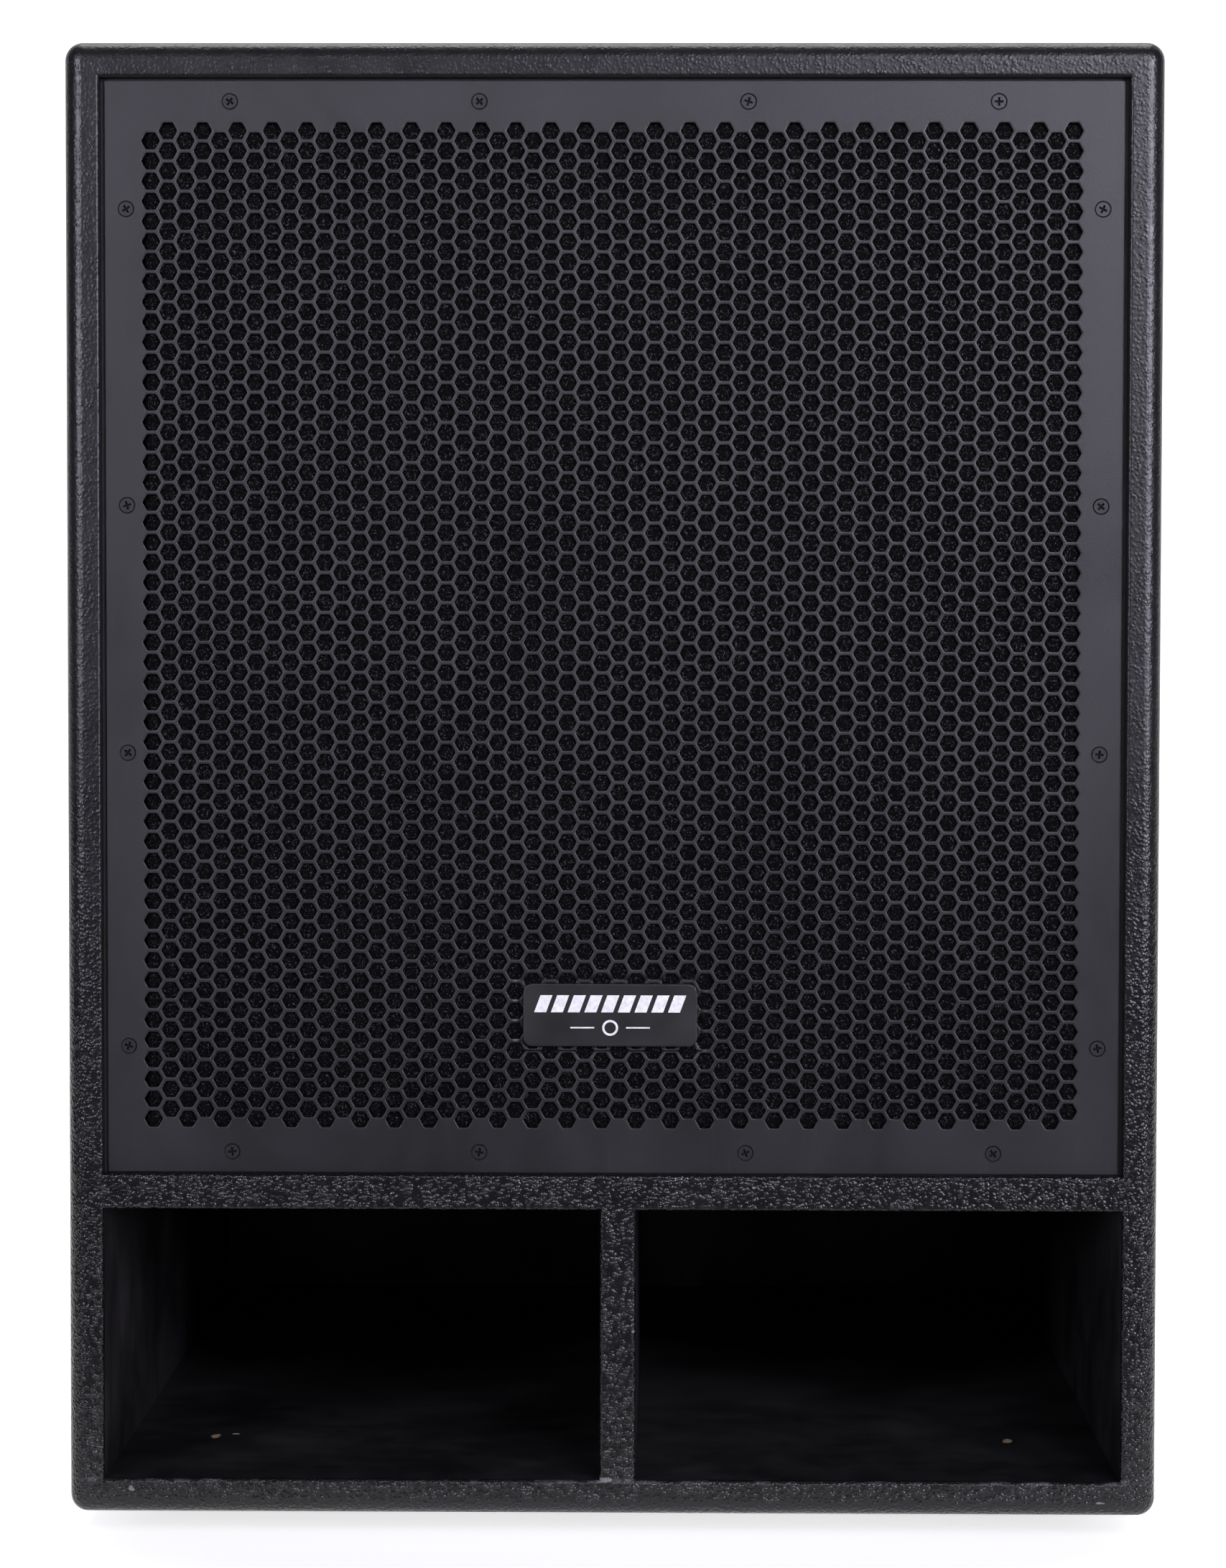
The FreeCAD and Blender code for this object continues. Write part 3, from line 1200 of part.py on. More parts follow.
def make_pole_space():
    hole = rod("pole_hole", "Dims.pole_bore + Dims.pole_wall + 0.5", "Dims.board", "0", "0", CEILING)
    pilots = DOC.addObject("Part::Compound", "pole_pilots")
    links = []
    for i, (x, y) in enumerate(pole_screw_spots()):
        drill = rod(f"pole_pilot_{i}", "2.05", "16", str(x), str(y), TOP + " - 16")
        links.append(drill)
    pilots.Links = links
    flange = "Dims.pole_flange_thickness"
    seat = rod("pole_seat", "Dims.pole_flange + 0.4", flange, "0", "0", f"{TOP} - {flange}")
    return [hole, pilots, seat]


def make_pole_socket():
    """Closed steel cup for a 35 mm pole, with a round flange let into the top panel."""
    flange = "Dims.pole_flange_thickness"
    tube_r = "(Dims.pole_bore + Dims.pole_wall)"
    deep = "100"
    body = new_body("pole_cup")
    sketch = new_sketch(body, "pole_profile", "XZ_Plane")
    bottom = f"({deep} + {flange} - Dims.pole_length - Dims.pole_wall)"
    outline(sketch, [
        ("0", bottom),
        (tube_r, bottom),
        (tube_r, deep),
        ("Dims.pole_flange", deep),
        ("Dims.pole_flange", f"{deep} + {flange}"),
        ("Dims.pole_bore", f"{deep} + {flange}"),
        ("Dims.pole_bore", f"{bottom} + Dims.pole_wall"),
        ("0", f"{bottom} + Dims.pole_wall"),
    ])
    made = body.newObject("PartDesign::Revolution", "pole_turning")
    made.Profile = sketch
    made.ReferenceAxis = (sketch, ["V_Axis"])
    made.Angle = 360
    bind(body, Base_z=f"{TOP} - {deep} - {flange}")
    sinks = []
    face = TOP_Z - dim("pole_flange_thickness")
    for i, (x, y) in enumerate(pole_screw_spots()):
        sink = DOC.addObject("Part::Cone", f"pole_sink_{i}")
        sink.Radius1, sink.Radius2, sink.Height = 2.1, 4.1, 2
        sink.Placement.Base = V(x, y, face + 1)
        drill = DOC.addObject("Part::Cylinder", f"pole_drill_{i}")
        drill.Radius, drill.Height = 2.1, 2
        drill.Placement.Base = V(x, y, face - 0.5)
        sinks += [sink, drill]
    node(cut("pole_socket", body, *sinks), "pole_socket")

    screw = countersunk_screw(3.8, 1.75, 14, 4.3)
    down = FreeCAD.Rotation(V(0, 1, 0), V(0, 0, -1))
    top = TOP_Z - 0.1
    places = [FreeCAD.Placement(V(x, y, top), down) for x, y in pole_screw_spots()]
    copies("pole_socket_screws", screw, places)


def foot_places():
    x = dim("cabinet_width") / 2 - dim("foot_side")
    y = dim("cabinet_depth") / 2 - dim("foot_end")
    return {
        "front_left": V(-x, -y, 0), "front_right": V(x, -y, 0),
        "rear_left": V(-x, y, 0), "rear_right": V(x, y, 0),
    }


def make_foot_holes():
    made = DOC.addObject("Part::Compound", "foot_pilots")
    links = []
    for name, place in foot_places().items():
        links.append(rod(f"foot_pilot_{name}", "2.3", "Dims.board - 1", str(place.x), str(place.y), BASE))
    made.Links = links
    return [made]


def make_feet():
    """Rubber feet, each with a washer and a screw sunk in it."""
    for name, place in foot_places().items():
        body = turned(f"foot_{name}", [
            ("2.4", "Dims.foot_bore_depth"),
            ("Dims.foot_bore", "Dims.foot_bore_depth"),
            ("Dims.foot_bore", "0"),
            ("Dims.foot_tip - 1", "0"),
            ("Dims.foot_tip", "1"),
            ("Dims.foot_radius", "Dims.foot_height"),
            ("2.4", "Dims.foot_height"),
        ], role="XZ_Plane")
        bind(body, Base_x=str(place.x), Base_y=str(place.y))
        node(body, f"foot_{name}")
    ring = Part.makeCylinder(7, 1.2).cut(Part.makeCylinder(2.4, 1.2))
    sunk = dim("foot_bore_depth")
    lift = V(0, 0, sunk - 1.2)
    places = [FreeCAD.Placement(p + lift, FreeCAD.Rotation()) for p in foot_places().values()]
    copies("foot_washers", ring, places)
    length = dim("foot_height") - sunk + 1.2 + dim("board") - 1.5
    screw = pan_screw(4, 2.6, 2.2, length, 4)
    over = FreeCAD.Rotation(V(1, 0, 0), 180)
    places = [FreeCAD.Placement(p + V(0, 0, sunk - 1.2), over) for p in foot_places().values()]
    copies("foot_screws", screw, places)


# ---------------------------------------------------------------- lining


def make_lining():
    """Wadding on the chamber's walls, cut round the handles, the pole socket and the connectors."""
    t = dim("lining")
    edge = INNER_X - t - 2
    low, high = SHELF_TOP_Z + 160, CEILING_Z - t - 2
    side_y = (FRONT_Y + 140, REAR_Y - 60)
    hole = (dim("dish_length") + 16, dim("dish_width") + 16)
    dish = Part.makeBox(t + 2, *hole)
    for name, side in HANDLE_SIDES:
        x = -INNER_X if side < 0 else INNER_X - t
        pad = Part.makeBox(t, side_y[1] - side_y[0], high - low, V(x, side_y[0], low))
        corner = V(x - 1, HANDLE_MIDDLE.y - hole[0] / 2, HANDLE_MIDDLE.z - hole[1] / 2)
        solid(f"lining_{name}", pad.cut(dish.translated(corner)))
    top = Part.makeBox(2 * edge, REAR_Y - 50 - (FRONT_Y + 140), t, V(-edge, FRONT_Y + 140, CEILING_Z - t))
    solid("lining_top", top.cut(Part.makeCylinder(dim("pole_bore") + 8, t + 2, V(0, 0, CEILING_Z - t - 1))))
    rear = Part.makeBox(2 * edge, t, CEILING_Z - t - 4 - (PLATE_MIDDLE_Z + 60),
                        V(-edge, REAR_Y - dim("board") - t, PLATE_MIDDLE_Z + 60))
    solid("lining_rear", rear)


# ---------------------------------------------------------------- build and export


def build():
    envelope = make_envelope()
    rear_space = rear_rebate_blocks()
    make_side_panels(envelope, rear_space, make_dish_spaces())
    make_top_and_bottom(envelope, rear_space, make_pole_space(), make_foot_holes())
    make_rear_panel(envelope, make_plate_space())
    make_ports(envelope)
    make_brace()
    make_battens()
    make_grille()
    make_badge()
    make_baffle()
    make_basket()
    make_motor()
    make_voice_coil()
    make_cone()
    make_woofer_rings()
    make_woofer_fasteners()
    make_woofer_terminals()
    make_leads()
    make_connector_plate()
    make_sockets()
    make_wires()
    make_handles()
    make_pole_socket()
    make_feet()
    make_lining()
    DOC.recompute()


def check():
    """Stops before anything is written if an object failed or a sub-part's shape is bad."""
    for obj in DOC.Objects:
        if {"Invalid", "Error"} & set(obj.State):
            raise RuntimeError(f"{obj.Name} ({obj.Label}) failed: {obj.State}")
    for obj in NODES:
        shape = obj.Shape
        if shape.isNull() or not shape.isValid() or not shape.Solids:
            raise RuntimeError(f"{obj.Label} has no valid solid")


def export():
    os.makedirs("parts", exist_ok=True)
    for obj in NODES:
        obj.Shape.exportStep(os.path.join("parts", obj.Label + ".step"))
    print(len(NODES), "nodes")


build()
check()
export()
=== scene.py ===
"""Looks of the subwoofer cabinet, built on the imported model's frame. Metres; +Z up, front towards -Y."""

import json
import math

import bmesh
import bpy
import numpy as np
from mathutils import Euler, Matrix, Vector, geometry, noise


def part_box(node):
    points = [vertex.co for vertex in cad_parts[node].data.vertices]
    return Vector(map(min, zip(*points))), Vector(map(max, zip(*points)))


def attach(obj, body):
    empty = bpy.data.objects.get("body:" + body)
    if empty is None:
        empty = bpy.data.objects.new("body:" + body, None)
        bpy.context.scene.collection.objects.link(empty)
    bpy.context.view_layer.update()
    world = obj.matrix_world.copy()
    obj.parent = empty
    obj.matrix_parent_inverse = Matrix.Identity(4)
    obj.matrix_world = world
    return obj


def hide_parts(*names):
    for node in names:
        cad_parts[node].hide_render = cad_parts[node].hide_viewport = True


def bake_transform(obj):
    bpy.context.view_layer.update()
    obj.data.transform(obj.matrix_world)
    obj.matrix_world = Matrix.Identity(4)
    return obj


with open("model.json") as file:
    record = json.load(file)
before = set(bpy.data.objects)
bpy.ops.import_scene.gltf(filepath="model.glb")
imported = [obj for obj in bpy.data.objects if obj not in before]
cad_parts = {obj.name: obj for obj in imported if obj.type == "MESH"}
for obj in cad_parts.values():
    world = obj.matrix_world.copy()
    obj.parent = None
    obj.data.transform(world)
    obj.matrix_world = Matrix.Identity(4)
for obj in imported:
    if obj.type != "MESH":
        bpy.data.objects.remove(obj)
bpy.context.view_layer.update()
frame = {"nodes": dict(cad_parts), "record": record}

MM = 0.001
CABINET, MOVING = "cabinet", "cone_assembly"
FOCAL_LENGTH, FRAME_HEIGHT = 5550, 2184  # in pixels
SENSOR = 36  # mm


# ---------------------------------------------------------------- camera


def make_camera():
    """The viewpoint, fitted to the corners and screws of the front."""
    data = bpy.data.cameras.new("camera")
    data.sensor_fit, data.sensor_width = "AUTO", SENSOR
    data.lens = FOCAL_LENGTH / FRAME_HEIGHT * SENSOR
    camera = bpy.data.objects.new("camera", data)
    camera.location = (0.02569, -2.29153, 0.47021)
    camera.rotation_euler = Euler([math.radians(a) for a in (87.540, -0.0956, 0.7385)])
    bpy.context.scene.collection.objects.link(camera)
    bpy.context.scene.camera = camera


make_camera()


# ---------------------------------------------------------------- node helpers


class Shader:
    """A node material under construction, with a Principled BSDF at its end."""

    def __init__(self, name, **constants):
        self.material = bpy.data.materials.new(name)
        self.material.use_nodes = True
        self.tree = self.material.node_tree
        self.tree.nodes.clear()
        end = self.tree.nodes.new("ShaderNodeOutputMaterial")
        self.bsdf = self.tree.nodes.new("ShaderNodeBsdfPrincipled")
        self.tree.links.new(self.bsdf.outputs["BSDF"], end.inputs["Surface"])
        self.place = self.add("ShaderNodeTexCoord").outputs["Object"]
        for key, value in constants.items():
            self.bsdf.inputs[key.replace("_", " ")].default_value = value

    def add(self, kind, inputs=(), **settings):
        """A node with its settings, and its inputs by name or number."""
        made = self.tree.nodes.new(kind)
        for key, value in settings.items():
            setattr(made, key, value)
        for key, value in dict(inputs).items():
            self.feed(made.inputs[key], value)
        return made

    def feed(self, socket, value):
        """Links a socket to the input, or sets the input to a plain value."""
        if isinstance(value, bpy.types.NodeSocket):
            self.tree.links.new(value, socket)
        else:
            socket.default_value = value

    def noise(self, scale, detail=3, rough=0.5, place=None, warp=0.0):
        inputs = {"Vector": place or self.place, "Scale": scale, "Detail": detail,
                  "Roughness": rough, "Distortion": warp}
        return self.add("ShaderNodeTexNoise", inputs).outputs["Fac"]

    def cells(self, scale, feature="F1", place=None):
        inputs = {"Vector": place or self.place, "Scale": scale}
        return self.add("ShaderNodeTexVoronoi", inputs, feature=feature).outputs["Distance"]

    def math(self, operation, a, b=0.0, c=0.0, clamp=False):
        return self.add("ShaderNodeMath", {0: a, 1: b, 2: c}, operation=operation,
                        use_clamp=clamp).outputs[0]

    def vector(self, operation, a, b):
        return self.add("ShaderNodeVectorMath", {0: a, 1: b}, operation=operation).outputs[0]

    def remap(self, value, low, high, to_low=0.0, to_high=1.0, smooth=False):
        inputs = {"Value": value, "From Min": low, "From Max": high, "To Min": to_low, "To Max": to_high}
        kind = "SMOOTHSTEP" if smooth else "LINEAR"
        return self.add("ShaderNodeMapRange", inputs, interpolation_type=kind).outputs["Result"]

    def mix(self, factor, a, b):
        """Between two colours."""
        made = self.add("ShaderNodeMix", data_type="RGBA")
        self.feed(made.inputs[0], factor)
        self.feed(made.inputs[6], a if isinstance(a, bpy.types.NodeSocket) else (*a, 1))
        self.feed(made.inputs[7], b if isinstance(b, bpy.types.NodeSocket) else (*b, 1))
        return made.outputs[2]

    def blend(self, factor, a, b):
        """Between two numbers."""
        made = self.add("ShaderNodeMix", data_type="FLOAT")
        self.feed(made.inputs[0], factor)
        self.feed(made.inputs[2], a)
        self.feed(made.inputs[3], b)
        return made.outputs[0]

    def stretched(self, x, y, z):
        """The place, scaled along each axis."""
        made = self.add("ShaderNodeMapping", {"Vector": self.place})
        made.inputs["Scale"].default_value = (x, y, z)
        return made.outputs["Vector"]

    def split(self, vector=None):
        made = self.add("ShaderNodeSeparateXYZ", {0: vector or self.place})
        return made.outputs["X"], made.outputs["Y"], made.outputs["Z"]

    def within(self, value, low, high, soft=0.2 * MM):
        """1 where value lies between low and high, with soft ends."""
        return self.math("MULTIPLY", self.remap(value, low - soft, low + soft),
                         self.remap(value, high + soft, high - soft))

    def all_of(self, *values):
        result = values[0]
        for value in values[1:]:
            result = self.math("MULTIPLY", result, value)
        return result

    def spot(self, place, size, ragged=0.35):
        """1 inside a ragged-edged blot: place and half-sizes in metres."""
        away = self.vector("SUBTRACT", self.place, place)
        flat = self.vector("MULTIPLY", away, [1 / v for v in size])
        far = self.add("ShaderNodeVectorMath", {0: flat}, operation="LENGTH").outputs["Value"]
        rough = self.noise(1.6 / max(size), 3, 0.6)
        far = self.math("ADD", far, self.remap(rough, 0.25, 0.75, -ragged, ragged))
        return self.remap(far, 1.04, 0.96)

    def bump(self, height, distance):
        inputs = {"Height": height, "Distance": distance, "Strength": 1.0}
        return self.add("ShaderNodeBump", inputs).outputs["Normal"]

    def finish(self, colour, rough, normal):
        for key, value in (("Base Color", colour), ("Roughness", rough), ("Normal", normal)):
            self.feed(self.bsdf.inputs[key], value)
        return self.material


def plain(name, dark, light, grain, rough, bump_mm=0.05, **constants):
    """A finish with fine grain: colour and roughness vary a little, and the surface is lightly rough."""
    s = Shader(name, **constants)
    fine = s.noise(grain, 4)
    broad = s.noise(grain / 25, 3)
    tone = s.math("ADD", s.math("MULTIPLY", fine, 0.45), s.math("MULTIPLY", broad, 0.55))
    colour = s.mix(s.remap(tone, 0.3, 0.7), dark, light)
    gloss = s.remap(broad, 0.3, 0.7, *rough)
    return s.finish(colour, gloss, s.bump(fine, bump_mm * MM))


# ---------------------------------------------------------------- cabinet coating

# The inner faces of the side panels, the bottom board, and the chamber's front, back and top. The ports'
# zone ends inside the shelf, between its painted underside and its bare top.
INNER_X = 0.256
PORT_Z = (0.033, 0.186)
CHAMBER_Y = (-0.238, 0.282)
CEILING_Z = 0.736


def zones(s):
    """Where a board is thinly painted (in the ports) and where it is bare (in the chamber)."""
    x, y, z = s.split()
    inside = s.within(s.math("ABSOLUTE", x), -1, INNER_X + 0.0002)
    ragged = s.math("ADD", y, s.remap(s.noise(90, 3), 0.3, 0.7, -0.0012, 0.0012))
    port = s.all_of(inside, s.within(z, PORT_Z[0] - 0.0003, PORT_Z[1] + 0.0003),
                    s.remap(ragged, -0.2985, -0.2965), s.within(y, -1, CHAMBER_Y[1] + 0.0003))
    chamber = s.all_of(inside, s.within(z, PORT_Z[0] - 0.0003, CEILING_Z + 0.0003),
                       s.within(y, CHAMBER_Y[0] + 0.001, CHAMBER_Y[1] + 0.0003))
    return port, s.math("MULTIPLY", chamber, s.math("SUBTRACT", 1.0, port))


def droplets(s):
    """Height of the sprayed texture: uneven droplets about two millimetres across, and craters; also the
    craters' mask, with which the coating paints shade into them.
    """
    wobble = s.add("ShaderNodeTexNoise", {"Vector": s.place, "Scale": 330.0, "Detail": 2.0})
    centred = s.vector("SUBTRACT", wobble.outputs["Color"], (0.5, 0.5, 0.5))
    shift = s.add("ShaderNodeVectorMath", {0: centred}, operation="SCALE")
    shift.inputs["Scale"].default_value = 1 * MM
    warped = s.vector("ADD", s.place, shift.outputs[0])
    swell = s.noise(150, 3, 0.6)
    strong = s.remap(swell, 0.40, 0.60, 0.5, 1.0)
    relief = s.noise(620, 2, 0.5)
    lumps = s.remap(s.cells(560, "F1", warped), 0.0, 0.75, 1.0, 0.0, smooth=True)
    height = s.math("ADD", s.math("MULTIPLY", lumps, strong),
                    s.math("ADD", s.math("MULTIPLY", relief, 0.6), s.math("MULTIPLY", swell, 0.4)))
    rare = s.remap(s.noise(36, 3), 0.50, 0.60)
    shaded_pits = s.math("MULTIPLY", s.remap(s.cells(190, "F1", warped), 0.32, 0.14), rare)
    return s.math("SUBTRACT", height, s.math("MULTIPLY", shaded_pits, 0.4)), shaded_pits


def grain(s):
    """Height of the veneer's grain under thin paint: along X on the floor, along Z on the walls."""
    along_x = s.noise(1.0, 5, 0.6, s.stretched(9, 210, 210))
    along_z = s.noise(1.0, 5, 0.6, s.stretched(210, 150, 8), 0.6)
    _, _, up = s.split(s.add("ShaderNodeNewGeometry").outputs["Normal"])
    flat = s.remap(s.math("ABSOLUTE", up), 0.4, 0.6)
    return s.blend(flat, along_z, along_x)


def lip_strip_and_scuffs(s):
    """Pale marks: a mottled strip along the front edge of the lower lip, and rubs where the paint is knocked
    at the divider's foot and the bottom corners.
    """
    _, y, z = s.split()
    # A pale, mottled strip along the front edge of the lower lip.
    lip = s.all_of(s.within(z, 0.0316, 0.0338, 0.0005), s.remap(y, -0.2950, -0.2972))
    pale_marks = s.math("MULTIPLY", lip, s.remap(s.noise(75, 4, 0.7), 0.50, 0.66, 0.03, 0.30))
    blots = [
        s.spot((-0.2425, -0.300, 0.0282), (0.0016, 0.006, 0.0013), 0.9),
        s.spot((-0.0045, -0.299, 0.0335), (0.0050, 0.006, 0.0013), 0.6),
        s.spot((0.0109, -0.300, 0.1087), (0.0009, 0.004, 0.0009)),
        s.spot((0.2460, -0.300, 0.0227), (0.0024, 0.006, 0.0004), 0.7),
    ]
    for blot in blots:
        pale_marks = s.math("MAXIMUM", pale_marks, s.math("MULTIPLY", blot, 0.6))
    return pale_marks


def bare_chips(s):
    """Chips over the front feet's screws, down to the wood."""
    chips = s.spot((-0.2117, -0.1944, 0.033), (0.0026, 0.0050, 0.003), 0.5)
    for place, size in (((0.2080, -0.1985, 0.033), (0.0026, 0.0050, 0.003)),
                        ((-0.2013, -0.1886, 0.033), (0.0022, 0.0016, 0.003))):
        chips = s.math("MAXIMUM", chips, s.spot(place, size, 0.5))
    return chips


def coating_material():
    """Black sprayed coating, heavier below, thin paint in the ports and bare wood in the chamber."""
    s = Shader("textured_coating", Specular_IOR_Level=0.42)
    port, chamber = zones(s)
    lumps, shaded_pits = droplets(s)
    rub = s.remap(s.noise(26, 4), 0.45, 0.72)
    black = s.mix(s.math("MULTIPLY", rub, 0.5), (0.0048, 0.0048, 0.0058), (0.0085, 0.0085, 0.0100))
    # Painted shade: the craters are coloured darker than the coating around them.
    black = s.mix(shaded_pits, black, (0.0022, 0.0022, 0.0026))
    black = s.mix(lip_strip_and_scuffs(s), black, (0.26, 0.26, 0.28))
    nick = s.remap(s.cells(24, "F1"), 0.040, 0.032)
    nicks = s.math("MULTIPLY", nick, s.remap(s.noise(11, 1), 0.62, 0.66))
    black = s.mix(nicks, black, (0.4, 0.39, 0.36))

    ply = grain(s)
    stain = s.noise(14, 5, 0.65)
    paint = s.mix(s.remap(stain, 0.35, 0.7), (0.0095, 0.0086, 0.0096), (0.0270, 0.0250, 0.0275))
    paint = s.mix(s.math("MULTIPLY", s.remap(ply, 0.55, 0.75), 0.5), paint, (0.003, 0.003, 0.003))
    dust = s.all_of(s.remap(s.cells(230, "F1"), 0.085, 0.04), s.remap(s.noise(35, 2), 0.60, 0.64))
    paint = s.mix(s.math("MULTIPLY", dust, 0.7), paint, (0.3, 0.29, 0.27))
    paint = s.mix(bare_chips(s), paint, (0.62, 0.47, 0.31))
    wood = s.mix(s.remap(ply, 0.3, 0.75), (0.42, 0.27, 0.14), (0.62, 0.44, 0.26))

    colour = s.mix(chamber, s.mix(port, black, paint), wood)
    _, _, level = s.split()
    thinner = s.remap(level, 0.20, 0.40)
    coat = s.math("ADD", s.remap(s.noise(60, 3), 0.3, 0.7, 0.20, 0.28), s.math("MULTIPLY", thinner, 0.11))
    relief = s.math("MULTIPLY", lumps, s.remap(thinner, 0.0, 1.0, 1.0, 0.26))
    thin = s.remap(stain, 0.3, 0.7, 0.34, 0.60)
    rough = s.blend(chamber, s.blend(port, coat, thin), 0.75)
    outer = s.math("SUBTRACT", 1.0, s.math("ADD", port, chamber), clamp=True)
    drip = s.spot((0.256, -0.0065, 0.107), (0.004, 0.0035, 0.011), 0.2)
    inner = s.math("ADD", s.math("MULTIPLY", ply, 0.3), s.math("MULTIPLY", drip, 0.8))
    height = s.math("ADD", s.math("MULTIPLY", relief, outer),
                    s.math("MULTIPLY", inner, s.math("SUBTRACT", 1.0, outer)))
    return s.finish(colour, rough, s.bump(height, 0.48 * MM))


# ---------------------------------------------------------------- other finishes


def powder_material():
    """Satin powder coating on steel: very fine orange peel, faint smudges and hairline rubs."""
    s = Shader("powder_coated_steel", Specular_IOR_Level=0.5)
    peel = s.noise(1400, 3)
    smudge = s.noise(11, 5, 0.6, s.stretched(1, 1, 0.6), 0.8)
    rubs = s.remap(s.noise(1.0, 4, 0.7, s.stretched(320, 320, 24), 0.3), 0.6, 0.78)
    colour = s.mix(s.remap(smudge, 0.35, 0.7), (0.0070, 0.0068, 0.0086), (0.0125, 0.0120, 0.0145))
    colour = s.mix(s.math("MULTIPLY", rubs, 0.08), colour, (0.09, 0.09, 0.10))
    rough = s.math("ADD", s.remap(smudge, 0.3, 0.7, 0.37, 0.50), s.math("MULTIPLY", rubs, 0.05))
    return s.finish(colour, rough, s.bump(peel, 0.05 * MM))


def foam_material():
    """Open-cell foam: black pores between fine struts, some of which glint: their glint is a painted
    highlight, a lighter colour, and they are glossier too.
    """
    s = Shader("acoustic_foam", Specular_IOR_Level=0.12)
    pores = s.cells(850, "DISTANCE_TO_EDGE")
    strut = s.remap(pores, 0.12, 0.03)
    patch = s.noise(900, 4, 0.7)
    glint = s.math("MULTIPLY", strut, s.remap(patch, 0.52, 0.64))
    # Painted highlight: the glinting struts are coloured lighter.
    colour = s.mix(glint, (0.0006, 0.0006, 0.0008), (0.085, 0.082, 0.088))
    height = s.math("ADD", s.remap(pores, 0.0, 0.3, 1.0, 0.0), s.math("MULTIPLY", patch, 1.2))
    return s.finish(colour, s.blend(glint, 0.9, 0.45), s.bump(height, 0.6 * MM))


def screw_material():
    """Blackened steel; the cross recesses of the grille's screws are painted near-black and made rough, as
    painted shade.
    """
    s = Shader("black_steel", Metallic=0.3)
    fine = s.noise(1500, 4)
    _, y, _ = s.split()
    # Painted shade: behind the screws' face, the cross recesses are coloured near-black.
    recess_shade = s.within(y, GRILLE_SCREW_FACE + 0.12 * MM, GRILLE_SCREW_FACE + 2 * MM, 0.02 * MM)
    colour = s.mix(s.remap(fine, 0.3, 0.7), (0.016, 0.016, 0.018), (0.034, 0.034, 0.037))
    colour = s.mix(recess_shade, colour, (0.0012, 0.0012, 0.0012))
    rough = s.blend(recess_shade, s.remap(fine, 0.3, 0.7, 0.30, 0.42), 0.9)
    return s.finish(colour, rough, s.bump(fine, 0.03 * MM))


def plate_material():
    """Black printed face of the name plate."""
    s = Shader("name_plate", Specular_IOR_Level=0.5)
    fine = s.noise(900, 3)
    cloud = s.noise(45, 4)
    colour = s.mix(s.remap(cloud, 0.3, 0.7), (0.0085, 0.0085, 0.0095), (0.0125, 0.0125, 0.0140))
    return s.finish(colour, s.remap(cloud, 0.3, 0.7, 0.36, 0.46), s.bump(fine, 0.012 * MM))


def ink_material():
    """White print on the name plate, a little worn."""
    s = Shader("white_print", Specular_IOR_Level=0.4)
    worn = s.noise(600, 4)
    colour = s.mix(s.remap(worn, 0.35, 0.75), (0.86, 0.86, 0.86), (0.66, 0.66, 0.67))
    return s.finish(colour, s.remap(worn, 0.3, 0.7, 0.4, 0.5), s.bump(worn, 0.01 * MM))


def cloth_material(name, dark, light, pitch_mm, rough):
    """Woven, resin-treated cloth."""
    s = Shader(name, Specular_IOR_Level=0.3)
    x, _, z = s.split()
    wave = 2 * math.pi / (pitch_mm * MM)
    warp = s.math("SINE", s.math("MULTIPLY", x, wave))
    weft = s.math("SINE", s.math("MULTIPLY", z, wave))
    weave = s.math("MULTIPLY_ADD", s.math("MULTIPLY", warp, weft), 0.5, 0.5)
    tone = s.math("ADD", s.math("MULTIPLY", weave, 0.5), s.math("MULTIPLY", s.noise(60, 4), 0.5))
    return s.finish(s.mix(tone, dark, light), s.remap(tone, 0.2, 0.8, *rough),
                    s.bump(weave, 0.15 * MM))


def wadding_material():
    """White polyester wadding: tufts of fine fibres."""
    s = Shader("wadding", Sheen_Weight=0.3, Specular_IOR_Level=0.2)
    fibres = s.noise(900, 5, 0.7, s.stretched(1, 0.4, 0.6), 1.5)
    tufts = s.noise(70, 4, 0.6)
    colour = s.mix(s.remap(tufts, 0.3, 0.7), (0.62, 0.61, 0.57), (0.82, 0.81, 0.77))
    height = s.math("ADD", fibres, s.math("MULTIPLY", tufts, 2.0))
    return s.finish(colour, s.remap(fibres, 0.3, 0.7, 0.85, 1.0), s.bump(height, 0.8 * MM))


def braid_material():
    """Slightly tarnished copper strands."""
    s = Shader("copper_wire", Metallic=1.0)
    twist = s.noise(2600, 2, 0.5)
    tarnish = s.noise(160, 3)
    colour = s.mix(s.remap(tarnish, 0.3, 0.7), (0.46, 0.24, 0.13), (0.70, 0.40, 0.24))
    return s.finish(colour, s.remap(twist, 0.3, 0.7, 0.25, 0.45), s.bump(twist, 0.1 * MM))


def turned_material(name, dark, light, rough):
    """Metal with fine turning marks round the woofer's axis."""
    s = Shader(name, Metallic=1.0)
    x, y, z = s.split()
    across = s.math("SUBTRACT", z, WOOFER.z)
    radius = s.math("SQRT", s.math("ADD", s.math("MULTIPLY", x, x), s.math("MULTIPLY", across, across)))
    lined = s.add("ShaderNodeCombineXYZ", {0: radius, 1: y})
    marks = s.noise(2600, 2, 0.5, lined.outputs[0])
    cloud = s.noise(40, 4)
    tone = s.math("ADD", s.math("MULTIPLY", marks, 0.5), s.math("MULTIPLY", cloud, 0.5))
    return s.finish(s.mix(s.remap(tone, 0.3, 0.7), dark, light), s.remap(cloud, 0.3, 0.7, *rough),
                    s.bump(marks, 0.02 * MM))


def middle(node):
    """Centre of a CAD node's box."""
    low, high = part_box(node)
    return (low + high) / 2


WOOFER = middle("woofer_magnet")
GRILLE_SCREW_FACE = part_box("grille_screws")[0].y


